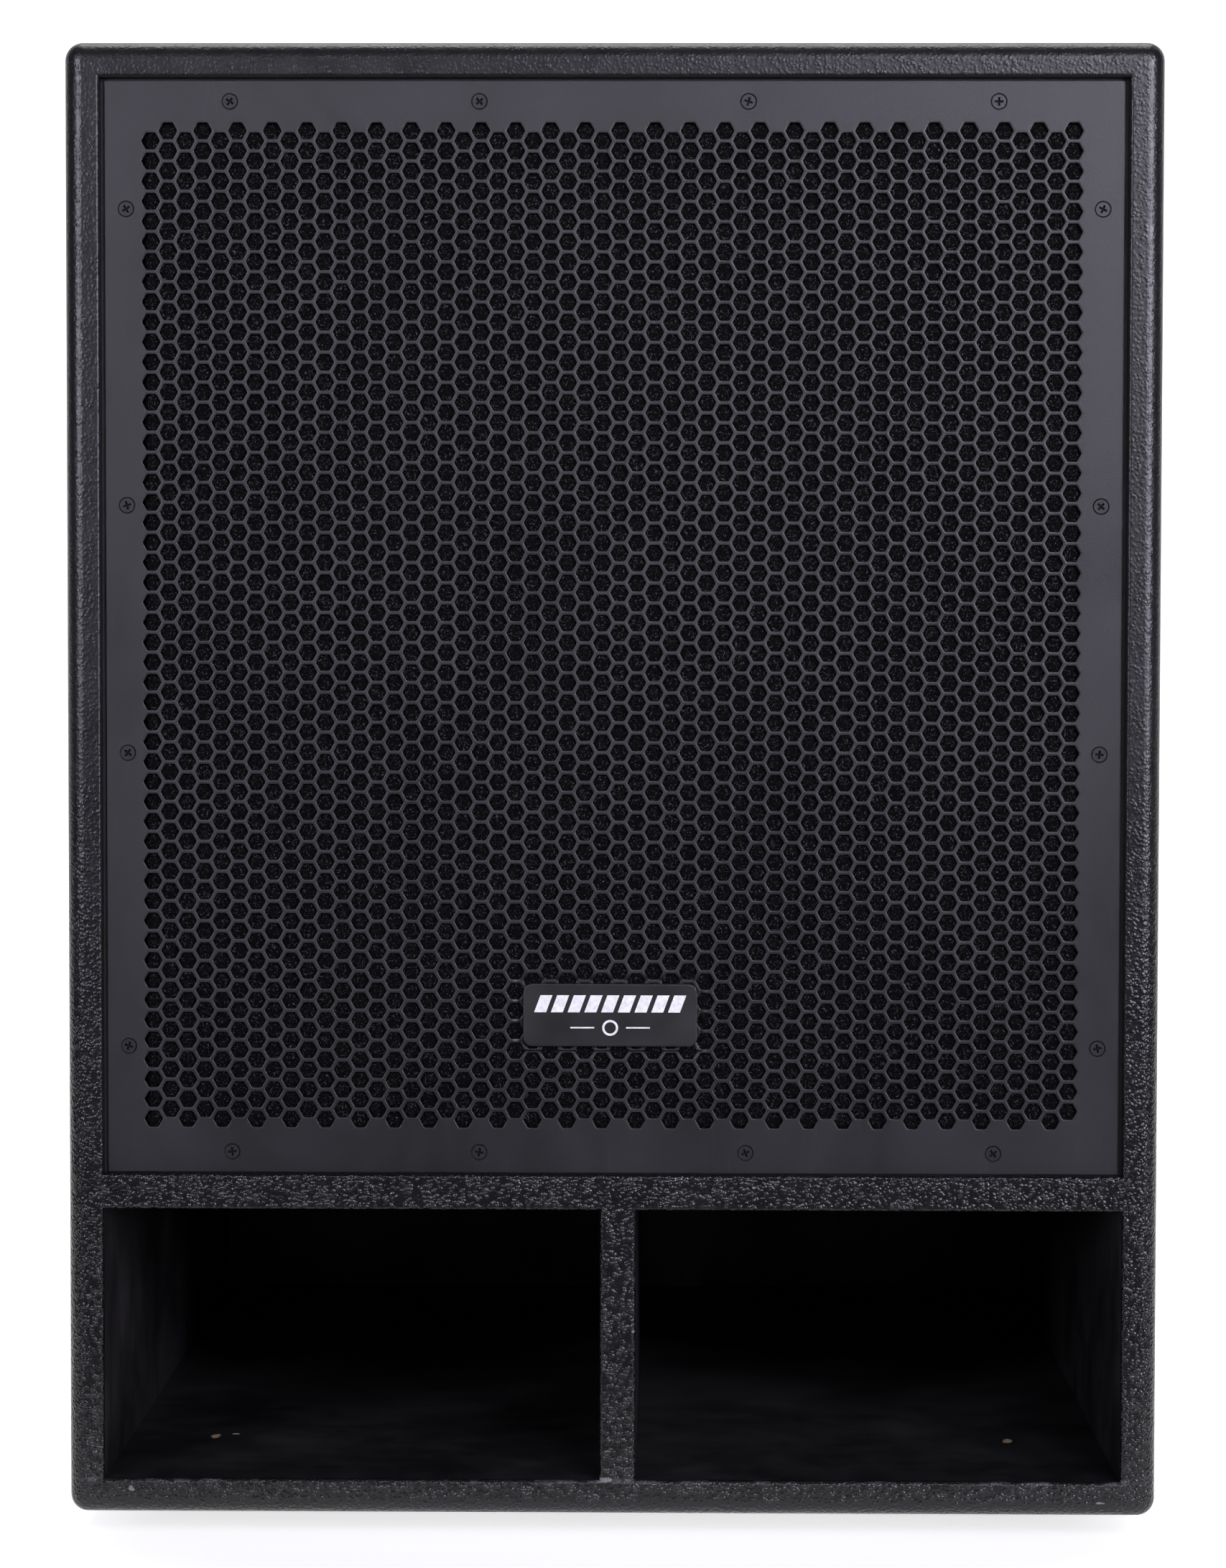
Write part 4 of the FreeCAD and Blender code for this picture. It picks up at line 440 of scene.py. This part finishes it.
def make_materials():
    return {
        "textured_coating": coating_material(),
        "black_plywood": plain("black_plywood", (0.006, 0.006, 0.007), (0.012, 0.012, 0.013), 700,
                               (0.55, 0.75), 0.12),
        "bare_plywood": plain("bare_plywood", (0.42, 0.27, 0.14), (0.62, 0.44, 0.26), 260, (0.6, 0.8), 0.1),
        "powder_coated_steel": powder_material(),
        "acoustic_foam": foam_material(),
        "black_steel": screw_material(),
        "name_plate": plate_material(),
        "cast_aluminium": plain("cast_aluminium", (0.012, 0.012, 0.013), (0.026, 0.026, 0.028), 900,
                                (0.42, 0.6), 0.15),
        "black_rubber": plain("black_rubber", (0.010, 0.010, 0.010), (0.020, 0.020, 0.020), 1200,
                              (0.7, 0.88), 0.08),
        "zinc_steel": turned_material("zinc_steel", (0.45, 0.45, 0.44), (0.66, 0.66, 0.64), (0.28, 0.42)),
        "ferrite": plain("ferrite", (0.020, 0.020, 0.022), (0.045, 0.045, 0.048), 1400, (0.6, 0.8), 0.1),
        "coil_former": plain("coil_former", (0.34, 0.19, 0.06), (0.50, 0.31, 0.11), 500, (0.25, 0.4), 0.02),
        "copper_wire": braid_material(),
        "spider_cloth": cloth_material("spider_cloth", (0.26, 0.17, 0.07), (0.50, 0.37, 0.19), 0.9,
                                       (0.7, 0.9)),
        "cone_paper": plain("cone_paper", (0.010, 0.010, 0.011), (0.022, 0.022, 0.024), 1100,
                            (0.7, 0.92), 0.2),
        "surround_cloth": cloth_material("surround_cloth", (0.008, 0.008, 0.009), (0.020, 0.020, 0.022),
                                         0.6, (0.45, 0.65)),
        "black_plastic": plain("black_plastic", (0.012, 0.012, 0.013), (0.020, 0.020, 0.022), 1000,
                               (0.38, 0.52), 0.06),
        "brass_contact": plain("brass_contact", (0.60, 0.44, 0.18), (0.78, 0.62, 0.32), 1200,
                               (0.22, 0.35), 0.02, Metallic=1.0),
        "red_insulation": plain("red_insulation", (0.36, 0.012, 0.010), (0.50, 0.025, 0.018), 800,
                                (0.3, 0.42), 0.02),
        "black_insulation": plain("black_insulation", (0.008, 0.008, 0.008), (0.016, 0.016, 0.016), 800,
                                  (0.3, 0.42), 0.02),
        "wadding": wadding_material(),
    }


MATERIALS = make_materials()
INK = ink_material()


def dress_cad_nodes():
    """Every CAD node gets the finish of its record slot."""
    slots = {p["node"]: p["material_slot"] for p in frame["record"]["subparts"]}
    for name, obj in frame["nodes"].items():
        for slot in obj.material_slots:
            slot.material = MATERIALS[slots[name]]


dress_cad_nodes()


# ---------------------------------------------------------------- mesh helpers


def place_object(name, data, nodes=(), body=CABINET):
    """Links a piece whose vertices are in the row frame and hangs it on a body."""
    obj = bpy.data.objects.new(name, data)
    bpy.context.scene.collection.objects.link(obj)
    if body:
        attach(obj, body)
    if nodes:
        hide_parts(*nodes)
    return obj


def band(bm, a, b, smooth=False):
    """Quads between two closed rings of equal length."""
    for i in range(len(a)):
        j = (i + 1) % len(a)
        bm.faces.new((a[i], a[j], b[j], b[i])).smooth = smooth


def mesh_from(name, bm, material, smooth=None):
    """A mesh with outward normals; smooth, where given, holds for every face."""
    bmesh.ops.recalc_face_normals(bm, faces=bm.faces)
    if smooth is not None:
        for face in bm.faces:
            face.smooth = smooth
    mesh = bpy.data.meshes.new(name)
    bm.to_mesh(mesh)
    bm.free()
    mesh.materials.append(material)
    return mesh


# ---------------------------------------------------------------- perforated sheet

# Hexagonal holes in upright columns; every other column stands half a pitch higher
COLUMNS, ROWS = 54, 50
PITCH = 10 * MM
COLUMN_PITCH = 8.68 * MM
HOLE_FLAT = 8.0 * MM
HOLE_CORNER = 0.9 * MM
LATTICE_SHIFT = -1.1 * MM
FIRST_EVEN, FIRST_ODD = 29.5 * MM, 24.5 * MM
RIM = 0.42 * MM
SCREW_RIM, SCREW_BORE = 4.25 * MM, 2.5 * MM
TURN = [2 * math.pi * i / 28 for i in range(28)]


def hole_outline(grow):
    """Two points at each corner of a hexagonal hole with clipped corners, from the right round."""
    half = HOLE_FLAT / 2 + grow
    reach = half / math.cos(math.pi / 6)
    points = []
    for k in range(6):
        angle = math.pi / 3 * k
        corner = Vector((math.cos(angle), math.sin(angle))) * reach
        for side in (-1, 1):
            turned = angle + side * 2 * math.pi / 3
            along = Vector((math.cos(turned), math.sin(turned)))
            points.append(corner + along * HOLE_CORNER * 0.5)
    return points


class Sheet:
    """The perforated grille sheet: hexagonal cells, each with its hole, and a plain margin."""

    def __init__(self, low, high, screws):
        self.low, self.high, self.screws = low, high, screws
        self.bm = bmesh.new()
        self.corners = {}
        self.edges = {}

    def corner(self, x, z, y):
        """The one vertex that neighbouring cells share at this place."""
        key = (round(x / MM, 2), round(z / MM, 2), round(y / MM, 2))
        if key not in self.corners:
            self.corners[key] = self.bm.verts.new((x, y, z))
        return self.corners[key]

    def ring(self, x, z, y, outline):
        return [self.bm.verts.new((x + p.x, y, z + p.y)) for p in outline]

    def cell(self, x, z):
        front, back = self.low.y, self.high.y
        rings = [self.ring(x, z, y, hole_outline(grow))
                 for y, grow in ((front, RIM), (front + RIM * 0.3, RIM * 0.3), (front + RIM, 0), (back, 0))]
        for a, b, rounded in zip(rings, rings[1:], (True, True, False)):
            band(self.bm, a, b, rounded)
        third = COLUMN_PITCH / 3
        shape = [(2 * third, 0), (third, PITCH / 2), (-third, PITCH / 2), (-2 * third, 0),
                 (-third, -PITCH / 2), (third, -PITCH / 2)]
        for y, ring in ((front, rings[0]), (back, rings[-1])):
            outer = [self.corner(x + dx, z + dz, y) for dx, dz in shape]
            for k in range(6):
                after = (k + 1) % 6
                for corners in ((outer[k], ring[2 * k], ring[2 * k + 1]),
                                (outer[k], ring[2 * k + 1], ring[2 * after], outer[after])):
                    self.bm.faces.new(corners).smooth = y == front
                if y == front:
                    pair = frozenset((outer[k], outer[after]))
                    self.edges[pair] = self.edges.get(pair, 0) + 1

    def lattice(self):
        for i in range(COLUMNS):
            x = LATTICE_SHIFT + (i - (COLUMNS - 1) / 2) * COLUMN_PITCH
            top = self.high.z - (FIRST_ODD if i % 2 else FIRST_EVEN)
            for j in range(ROWS):
                self.cell(x, top - j * PITCH)

    def outline_loop(self):
        """The lattice's outer zigzag as an ordered list of front vertices."""
        links = {}
        for pair, count in self.edges.items():
            if count == 1:
                a, b = pair
                links.setdefault(a, []).append(b)
                links.setdefault(b, []).append(a)
        start = next(iter(links))
        loop, last = [start], None
        while True:
            step = next(v for v in links[loop[-1]] if v is not last)
            if step is start:
                return loop
            last = loop[-1]
            loop.append(step)

    def margin(self):
        """Flat border between the zigzag and the sheet's edge, with the countersunk screw holes."""
        loop = self.outline_loop()
        zigzag = [Vector((v.co.x, v.co.z)) for v in loop]
        frame_corners = [Vector((x, z)) for x, z in ((self.low.x, self.low.z), (self.high.x, self.low.z),
                                                      (self.high.x, self.high.z), (self.low.x, self.high.z))]
        rims = []
        for y, radius, partners in ((self.low.y, SCREW_RIM, loop), (self.high.y, SCREW_BORE, None)):
            points = list(zigzag) + frame_corners
            lines = [(i, (i + 1) % len(zigzag)) for i in range(len(zigzag))]
            base = len(zigzag)
            lines += [(base + i, base + (i + 1) % 4) for i in range(4)]
            holes = []
            for spot in self.screws:
                first = len(points)
                holes.append(first)
                points += [spot + Vector((math.cos(a), math.sin(a))) * radius for a in TURN]
                lines += [(first + i, first + (i + 1) % len(TURN)) for i in range(len(TURN))]
            found, _, faces, origin, _, _ = geometry.delaunay_2d_cdt(points, lines, [], 0, 1e-7)
            verts = []
            for co, sources in zip(found, origin):
                source = sources[0] if sources else None
                if source is not None and source < len(zigzag):
                    verts.append(self.corner(co.x, co.y, y) if partners is None else partners[source])
                else:
                    verts.append(self.bm.verts.new((co.x, y, co.y)))
            for face in faces:
                centre = sum((found[i] for i in face), Vector((0, 0))) / len(face)
                if self.in_margin(centre, zigzag, radius):
                    self.bm.faces.new([verts[i] for i in face])
            place = {sources[0]: v for v, sources in zip(verts, origin) if sources}
            rims.append([[place[h + i] for i in range(len(TURN))] for h in holes]
                        + [[place[base + i] for i in range(4)]])
        for front, back in zip(*rims):
            band(self.bm, front, back)

    def in_margin(self, point, zigzag, radius):
        """True outside every screw hole and outside the zigzag, by the crossings of a ray."""
        if any((point - spot).length < radius * 0.999 for spot in self.screws):
            return False
        crossings = 0
        for a, b in zip(zigzag, zigzag[1:] + zigzag[:1]):
            if (a.y > point.y) != (b.y > point.y):
                crossings += point.x < a.x + (point.y - a.y) / (b.y - a.y) * (b.x - a.x)
        return crossings % 2 == 0

    def press(self, centre, half_x, half_z, depth, ramp):
        """Presses a flat rectangular seat into the sheet, with folded sides."""
        limit = 12 * MM
        for axis, half in ((0, half_x), (2, half_z)):
            for side in (-1, 1):
                for offset in (half, half + ramp):
                    near = [f for f in self.bm.faces if self.close(f, centre, half_x, half_z, limit)]
                    parts = set(near)
                    for face in near:
                        parts.update(face.edges, face.verts)
                    normal = Vector((1, 0, 0)) if axis == 0 else Vector((0, 0, 1))
                    bmesh.ops.bisect_plane(self.bm, geom=list(parts), dist=1e-7,
                                           plane_co=centre + normal * side * offset, plane_no=normal)
        for v in self.bm.verts:
            out = max(abs(v.co.x - centre.x) - half_x, abs(v.co.z - centre.z) - half_z)
            if out < ramp:
                v.co.y += depth * min(1.0, (ramp - out) / ramp)

    @staticmethod
    def close(face, centre, half_x, half_z, limit):
        c = face.calc_center_median()
        return abs(c.x - centre.x) < half_x + limit and abs(c.z - centre.z) < half_z + limit


def screw_spots():
    """Middles of the grille screws, read from the CAD node."""
    mesh = frame["nodes"]["grille_screws"].data
    co = np.array([v.co for v in mesh.vertices])
    heads = co[co[:, 1] < co[:, 1].min() + 0.05 * MM][:, [0, 2]]
    groups = []
    for p in heads:
        near = next((g for g in groups if np.linalg.norm(np.mean(g, 0) - p) < 6 * MM), None)
        if near is None:
            groups.append([p])
        else:
            near.append(p)
    return [Vector((np.array(g).min(0) + np.array(g).max(0)) / 2) for g in groups]


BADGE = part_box("badge")
BADGE_MIDDLE = middle("badge")
SEAT_DEPTH = 1.3 * MM


def make_sheet():
    low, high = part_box("grille_sheet")
    sheet = Sheet(low, high, screw_spots())
    sheet.lattice()
    sheet.margin()
    half = (BADGE[1] - BADGE[0]) / 2
    sheet.press(BADGE_MIDDLE, half.x + 2.2 * MM, half.z + 2.0 * MM, SEAT_DEPTH, 0.9 * MM)
    mesh = mesh_from("perforated_sheet", sheet.bm, MATERIALS["powder_coated_steel"])
    place_object("perforated_sheet", mesh, ["grille_sheet"])


make_sheet()


# ---------------------------------------------------------------- name plate


def rounded_outline(half_x, half_z, radius, steps=8):
    points = []
    for k, (sx, sz) in enumerate(((1, 1), (-1, 1), (-1, -1), (1, -1))):
        for i in range(steps + 1):
            a = math.pi / 2 * (k + i / steps)
            points.append((sx * (half_x - radius) + radius * math.cos(a),
                           sz * (half_z - radius) + radius * math.sin(a)))
    return points


def stacked(bm, layers):
    """Joins outlines of equal length, each (points, y), and closes both ends."""
    rings = [[bm.verts.new((x, y, z)) for x, z in points] for points, y in layers]
    for a, b in zip(rings, rings[1:]):
        band(bm, a, b)
    bm.faces.new(rings[0])
    bm.faces.new(list(reversed(rings[-1])))


def make_badge():
    """Plate with softened edges, and an abstract mark of plain bars over a ring and two dashes."""
    half = (BADGE[1] - BADGE[0]) / 2
    front, back = BADGE[0].y, BADGE[1].y + SEAT_DEPTH
    cx, cz = BADGE_MIDDLE.x, BADGE_MIDDLE.z
    bm = bmesh.new()
    layers = []
    for inset, y in ((0.75, 0.0), (0.3, 0.08), (0.08, 0.3), (0.0, 0.75)):
        shape = rounded_outline(half.x - inset * MM, half.z - inset * MM, (4.5 - inset) * MM)
        layers.append(([(cx + x, cz + z) for x, z in shape], front + y * MM))
    layers.append((layers[-1][0], back))
    stacked(bm, layers)
    mesh = mesh_from("name_plate", bm, MATERIALS["name_plate"])
    place_object("name_plate", mesh, ["badge"])

    bm = bmesh.new()
    raised = (front - 0.06 * MM, front + 0.05 * MM)
    count, pitch, lean = 9, 8.4 * MM, 1.6 * MM
    for i in range(count):
        x = cx + (i - (count - 1) / 2) * pitch
        half_bar, low, high = 3.0 * MM, cz + 1.4 * MM, cz + 10.0 * MM
        bar = [(x - half_bar + lean, high), (x - half_bar - lean, low),
               (x + half_bar - lean, low), (x + half_bar + lean, high)]
        stacked(bm, [(bar, raised[0]), (bar, raised[1])])
    for side in (-1, 1):
        a, b = cx + side * 8 * MM, cx + side * 20 * MM
        dash = [(a, cz - 6.0 * MM), (a, cz - 6.7 * MM), (b, cz - 6.7 * MM), (b, cz - 6.0 * MM)]
        stacked(bm, [(dash, raised[0]), (dash, raised[1])])
    ring_z = cz - 6.4 * MM
    rims = [[bm.verts.new((cx + r * MM * math.cos(a), y, ring_z + r * MM * math.sin(a))) for a in TURN]
            for r, y in ((4.0, raised[1]), (4.0, raised[0]), (2.9, raised[0]), (2.9, raised[1]))]
    for a, b in zip(rims, rims[1:] + rims[:1]):
        band(bm, a, b)
    place_object("name_plate_mark", mesh_from("name_plate_mark", bm, INK))


make_badge()


# ---------------------------------------------------------------- foam and wadding


def soft_block(name, low, high, cell, swell, material, holes=(), fine=0.0):
    """A soft block on a grid: its big faces lift and dip, and its edges round off.

    holes are boxes (low, high) cut through it across its thin axis."""
    size = high - low
    thin = min(range(3), key=lambda i: size[i])
    across = [i for i in range(3) if i != thin]
    counts = [max(2, round(size[i] / cell)) for i in across]
    grid = {}
    bm = bmesh.new()

    def inside_hole(u, v):
        return any(a[across[0]] < u < b[across[0]] and a[across[1]] < v < b[across[1]] for a, b in holes)

    def vertex(i, j, side):
        key = (i, j, side)
        if key not in grid:
            u = low[across[0]] + size[across[0]] * i / counts[0]
            v = low[across[1]] + size[across[1]] * j / counts[1]
            gap = min(u - low[across[0]], high[across[0]] - u, v - low[across[1]], high[across[1]] - v)
            rounded = min(1.0, max(0.0, gap) / (swell * 2)) ** 0.5 if swell else 1.0
            wave = noise.noise(Vector((u * 14, v * 14, side * 3.1)))
            ripple = noise.noise(Vector((u * 160, v * 160, side * 7.7))) * fine
            reach = (size[thin] / 2) * (0.55 + 0.45 * rounded) * (0.93 + 0.07 * wave) - abs(ripple)
            co = Vector((0, 0, 0))
            co[across[0]], co[across[1]] = u, v
            co[thin] = (low[thin] + high[thin]) / 2 + side * min(reach, size[thin] / 2)
            grid[key] = bm.verts.new(co)
        return grid[key]

    kept = set()
    for i in range(counts[0]):
        for j in range(counts[1]):
            u = low[across[0]] + size[across[0]] * (i + 0.5) / counts[0]
            v = low[across[1]] + size[across[1]] * (j + 0.5) / counts[1]
            if not inside_hole(u, v):
                kept.add((i, j))
    for i, j in kept:
        for side in (-1, 1):
            bm.faces.new([vertex(i + a, j + b, side) for a, b in ((0, 0), (1, 0), (1, 1), (0, 1))])
        for di, dj, edge in ((-1, 0, ((0, 0), (0, 1))), (1, 0, ((1, 0), (1, 1))),
                             (0, -1, ((0, 0), (1, 0))), (0, 1, ((0, 1), (1, 1)))):
            if (i + di, j + dj) not in kept:
                (a, b), (c, d) = edge
                bm.faces.new((vertex(i + a, j + b, -1), vertex(i + c, j + d, -1),
                              vertex(i + c, j + d, 1), vertex(i + a, j + b, 1)))
    return mesh_from(name, bm, material, smooth=True)


def make_foam():
    low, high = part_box("grille_foam")
    mesh = soft_block("foam_sheet", low, high, 4 * MM, 2 * MM, MATERIALS["acoustic_foam"], fine=0.7 * MM)
    place_object("foam_sheet", mesh, ["grille_foam"])


def make_wadding():
    around = Vector((0.03, 0.01, 0.01))
    flange = Vector((0, 0.012, 0.012))
    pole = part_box("pole_socket")
    collar = Vector((0.022, 0.022, 0.05))
    for side in ("left", "right", "top", "rear"):
        low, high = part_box(f"lining_{side}")
        holes = []
        if side in ("left", "right"):
            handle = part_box(f"side_handle_{side}")
            holes = [(handle[0] - around + flange, handle[1] + around - flange)]
        elif side == "top":
            centre = (pole[0] + pole[1]) / 2
            holes = [(centre - collar, centre + collar)]
        name = f"wadding_{side}"
        mesh = soft_block(name, low, high, 9 * MM, 12 * MM, MATERIALS["wadding"], holes, 0.8 * MM)
        place_object(name, mesh, [f"lining_{side}"])


make_foam()
make_wadding()


# ---------------------------------------------------------------- woofer's soft parts


def lathe(name, profile, material, steps=128):
    """A closed ring turned about the woofer's axis from (radius, y) points."""
    bm = bmesh.new()
    rings = []
    for k in range(steps):
        a = 2 * math.pi * k / steps
        rings.append([bm.verts.new((r * math.cos(a), y, WOOFER.z + r * math.sin(a))) for r, y in profile])
    for a, b in zip(rings, rings[1:] + rings[:1]):
        band(bm, a, b)
    return mesh_from(name, bm, material, smooth=True)


ROLL_STEPS = 8


def rolls(radii, y_back, swing, count, thickness):
    """Profile of a corrugated ring: flat rims and half-rolls between them."""
    inner, first, last, outer = radii
    centre = [(inner, y_back), (first - 0.3 * MM, y_back)]
    for i in range(count * ROLL_STEPS + 1):
        t = i / ROLL_STEPS
        r = first + (last - first) * t / count
        centre.append((r, y_back - swing * math.sin(math.pi * t)))
    centre += [(last + 0.3 * MM, y_back), (outer, y_back)]
    return centre + [(r, y - thickness) for r, y in reversed(centre)]


def flex(obj, weight):
    """Bakes obj's transform and works out weight at each vertex, meant for stretching between the cabinet and
    the moving assembly; the values are not used.
    """
    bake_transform(obj)
    values = [weight(v.co) for v in obj.data.vertices]


def ease(t):
    t = min(1.0, max(0.0, t))
    return t * t * (3 - 2 * t)


def radius_of(co):
    return math.hypot(co.x, co.z - WOOFER.z)


def make_suspension():
    parts = (
        ("cone_surround", "woofer_surround", "surround_cloth", (178, 183, 201, 209), 2.2, 3, 0.8),
        ("cone_spider", "woofer_spider", "spider_cloth", (38.5, 44, 84, 96), 1.3, 8, 0.6),
    )
    for name, node, slot, radii, swing, count, thickness in parts:
        radii = [r * MM for r in radii]
        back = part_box(node)[1].y - swing * MM
        mesh = lathe(name, rolls(radii, back, swing * MM, count, thickness * MM), MATERIALS[slot])
        obj = place_object(name, mesh, [node], body=None)
        flex(obj, lambda co, r=radii: 1 - ease((radius_of(co) - r[1]) / (r[2] - r[1])))


def smooth_line(points):
    """Points along the NURBS line that the given points control."""
    curve = bpy.data.curves.new("line", "CURVE")
    curve.dimensions = "3D"
    spline = curve.splines.new("NURBS")
    spline.points.add(len(points) - 1)
    for control, point in zip(spline.points, points):
        control.co = (*point, 1)
    spline.order_u, spline.use_endpoint_u = 3, True
    curve.resolution_u = 10
    obj = bpy.data.objects.new("line", curve)
    bpy.context.scene.collection.objects.link(obj)
    bpy.context.view_layer.update()
    mesh = bpy.data.meshes.new_from_object(obj.evaluated_get(bpy.context.evaluated_depsgraph_get()))
    line = [v.co.copy() for v in mesh.vertices]
    bpy.data.objects.remove(obj)
    return line


def strands(name, lines, radius, material, count=1, twist=0.0, sides=10):
    """Tubes along lines; with count above 1, each is a bundle of twisted strands."""
    bm = bmesh.new()
    for line in lines:
        for k in range(count):
            rings, side = [], Vector((1, 0, 0))
            travelled = 0.0
            for i, point in enumerate(line):
                ahead = (line[min(i + 1, len(line) - 1)] - line[max(i - 1, 0)]).normalized()
                side = (side - ahead * side.dot(ahead)).normalized()
                up = ahead.cross(side)
                travelled += (point - line[i - 1]).length if i else 0.0
                phase = twist * travelled + 2 * math.pi * k / count
                offset = (side * math.cos(phase) + up * math.sin(phase)) * (radius * 0.5 if count > 1 else 0)
                own = radius * (0.5 if count > 1 else 1)
                rings.append([bm.verts.new(point + offset + (side * math.cos(a) + up * math.sin(a)) * own)
                              for a in (2 * math.pi * n / sides for n in range(sides))])
            for a, b in zip(rings, rings[1:]):
                band(bm, a, b)
            bm.faces.new(rings[0])
            bm.faces.new(list(reversed(rings[-1])))
    return mesh_from(name, bm, material, smooth=True)


def make_leads():
    """Twisted leads between the terminal block and the cone's neck."""
    block = middle("woofer_terminal_block")
    y, z = block.y, WOOFER.z
    lines = []
    for side in (-1, 1):
        route = [(11, -9, -122), (11, -15, -122), (11, -21, -121), (11, -30, -110), (10.6, -34, -96),
                 (10, -34, -80), (9.4, -31, -68), (9, -29.5, -58), (8.4, -30, -48), (8, -31, -40)]
        lines.append(smooth_line([(side * a * MM, y + b * MM, z + c * MM) for a, b, c in route]))
    mesh = strands("lead_braids", lines, 0.9 * MM, MATERIALS["copper_wire"], count=5, twist=900, sides=6)
    obj = place_object("lead_braids", mesh, ["woofer_lead_braids"], body=None)
    flex(obj, lambda co: ease((co.z - (z - 122 * MM)) / (78 * MM)))


def make_wires():
    """Two insulated wires: from a socket, over the cross brace, down and up to the woofer's posts."""
    starts = {
        "positive": [(-22.5, 261.8, 425), (-22.5, 243.8, 425), (-9.5, 223.8, 400.5), (-1.5, 180, 365)],
        "negative": [(-33.5, 261.8, 415), (-33.5, 243.8, 415), (-18.5, 223.8, 395.5), (-10.5, 180, 365)],
    }
    rest = [(4.5, 150, 342.2), (4.5, 82, 342.2), (5.2, 68, 334), (6.5, 34, 313), (8.5, -20, 293),
            (9.5, -60, 285), (13, -84.5, 280), (12, -126.5, 282), (11, -144.5, 300), (11, -144.5, 321.8)]
    for name, side, slot in (("positive", 1, "red_insulation"), ("negative", -1, "black_insulation")):
        route = starts[name] + [(side * x, y, z) for x, y, z in rest]
        line = smooth_line([(x * MM, y * MM, z * MM) for x, y, z in route])
        mesh = strands(f"wire_{name}", [line], 2.2 * MM, MATERIALS[slot], sides=20)
        place_object(f"wire_{name}", mesh, [f"speaker_wire_{name}"])


make_suspension()
make_leads()
make_wires()


# ---------------------------------------------------------------- floor and light


def make_floor():
    """A pale floor, self-lit more and more towards the rear so that it melts into the white room."""
    s = Shader("pale_floor", Specular_IOR_Level=0.1)
    cloud = s.noise(3, 3)
    s.feed(s.bsdf.inputs["Emission Color"], (1, 1, 1, 1))
    _, y, _ = s.split()
    glow = s.math("MULTIPLY", s.remap(y, -0.50, -0.38), s.remap(y, 0.0, 3.0, 0.72, 1.0))
    s.feed(s.bsdf.inputs["Emission Strength"], glow)
    pale = s.mix(cloud, (0.88, 0.88, 0.885), (0.92, 0.92, 0.92))
    s.finish(s.mix(s.remap(y, -0.41, -0.60), pale, (0.22, 0.22, 0.225)), s.remap(cloud, 0.3, 0.7, 0.75, 0.85),
             s.bump(s.noise(300, 3), 0.05 * MM))
    bm = bmesh.new()
    bm.faces.new([bm.verts.new((x, y, 0)) for x, y in ((-9, -6), (9, -6), (9, 16), (-9, 16))])
    obj = bpy.data.objects.new("floor", mesh_from("floor", bm, s.material))
    bpy.context.scene.collection.objects.link(obj)


SKY_FRONT, SKY_REAR = 0.07, 1.25


def make_sky():
    """A white room behind the cabinet, dim overhead and in front so that black paint stays black."""
    world = bpy.data.worlds.new("studio")
    world.use_nodes = True
    tree = world.node_tree
    place = tree.nodes.new("ShaderNodeTexCoord")
    parts = tree.nodes.new("ShaderNodeSeparateXYZ")
    tree.links.new(place.outputs["Generated"], parts.inputs[0])
    fade = tree.nodes.new("ShaderNodeMapRange")
    fade.interpolation_type = "SMOOTHSTEP"
    for key, value in (("From Min", 0.15), ("From Max", 0.75), ("To Min", SKY_FRONT), ("To Max", SKY_REAR)):
        fade.inputs[key].default_value = value
    tree.links.new(parts.outputs["Y"], fade.inputs["Value"])
    background = tree.nodes["Background"]
    background.inputs["Color"].default_value = (0.98, 0.985, 1.0, 1)
    tree.links.new(fade.outputs["Result"], background.inputs["Strength"])
    bpy.context.scene.world = world


def area_light(name, place, target, size, power, tint, spread=180):
    """A soft box; a spread below 180 degrees is a grid that keeps its light off the floor."""
    data = bpy.data.lights.new(name, "AREA")
    data.shape, data.size, data.size_y = "RECTANGLE", *size
    data.energy, data.color = power, tint
    data.spread = math.radians(spread)
    obj = bpy.data.objects.new(name, data)
    obj.location = place
    obj.rotation_euler = (Vector(target) - Vector(place)).to_track_quat("-Z", "Y").to_euler()
    bpy.context.scene.collection.objects.link(obj)


def make_light():
    make_sky()
    area_light("key", (0.85, -2.75, 1.5), (0.1, -0.3, 0.72), (0.9, 0.9), 2.55, (0.89, 0.86, 1.0), 45)
    area_light("left", (-1.35, -2.2, 1.0), (-0.15, -0.3, 0.68), (0.5, 1.1), 2.5, (0.88, 0.85, 1.0), 45)
    area_light("right", (1.45, -2.15, 0.9), (0.15, -0.3, 0.62), (0.5, 1.1), 3.4, (0.88, 0.85, 1.0), 45)
    area_light("top", (0.0, 0.3, 2.4), (0, 0.1, 0), (1.6, 1.0), 22, (1.0, 1.0, 1.0))
    bpy.context.scene.view_settings.view_transform = "Standard"


make_floor()
make_light()
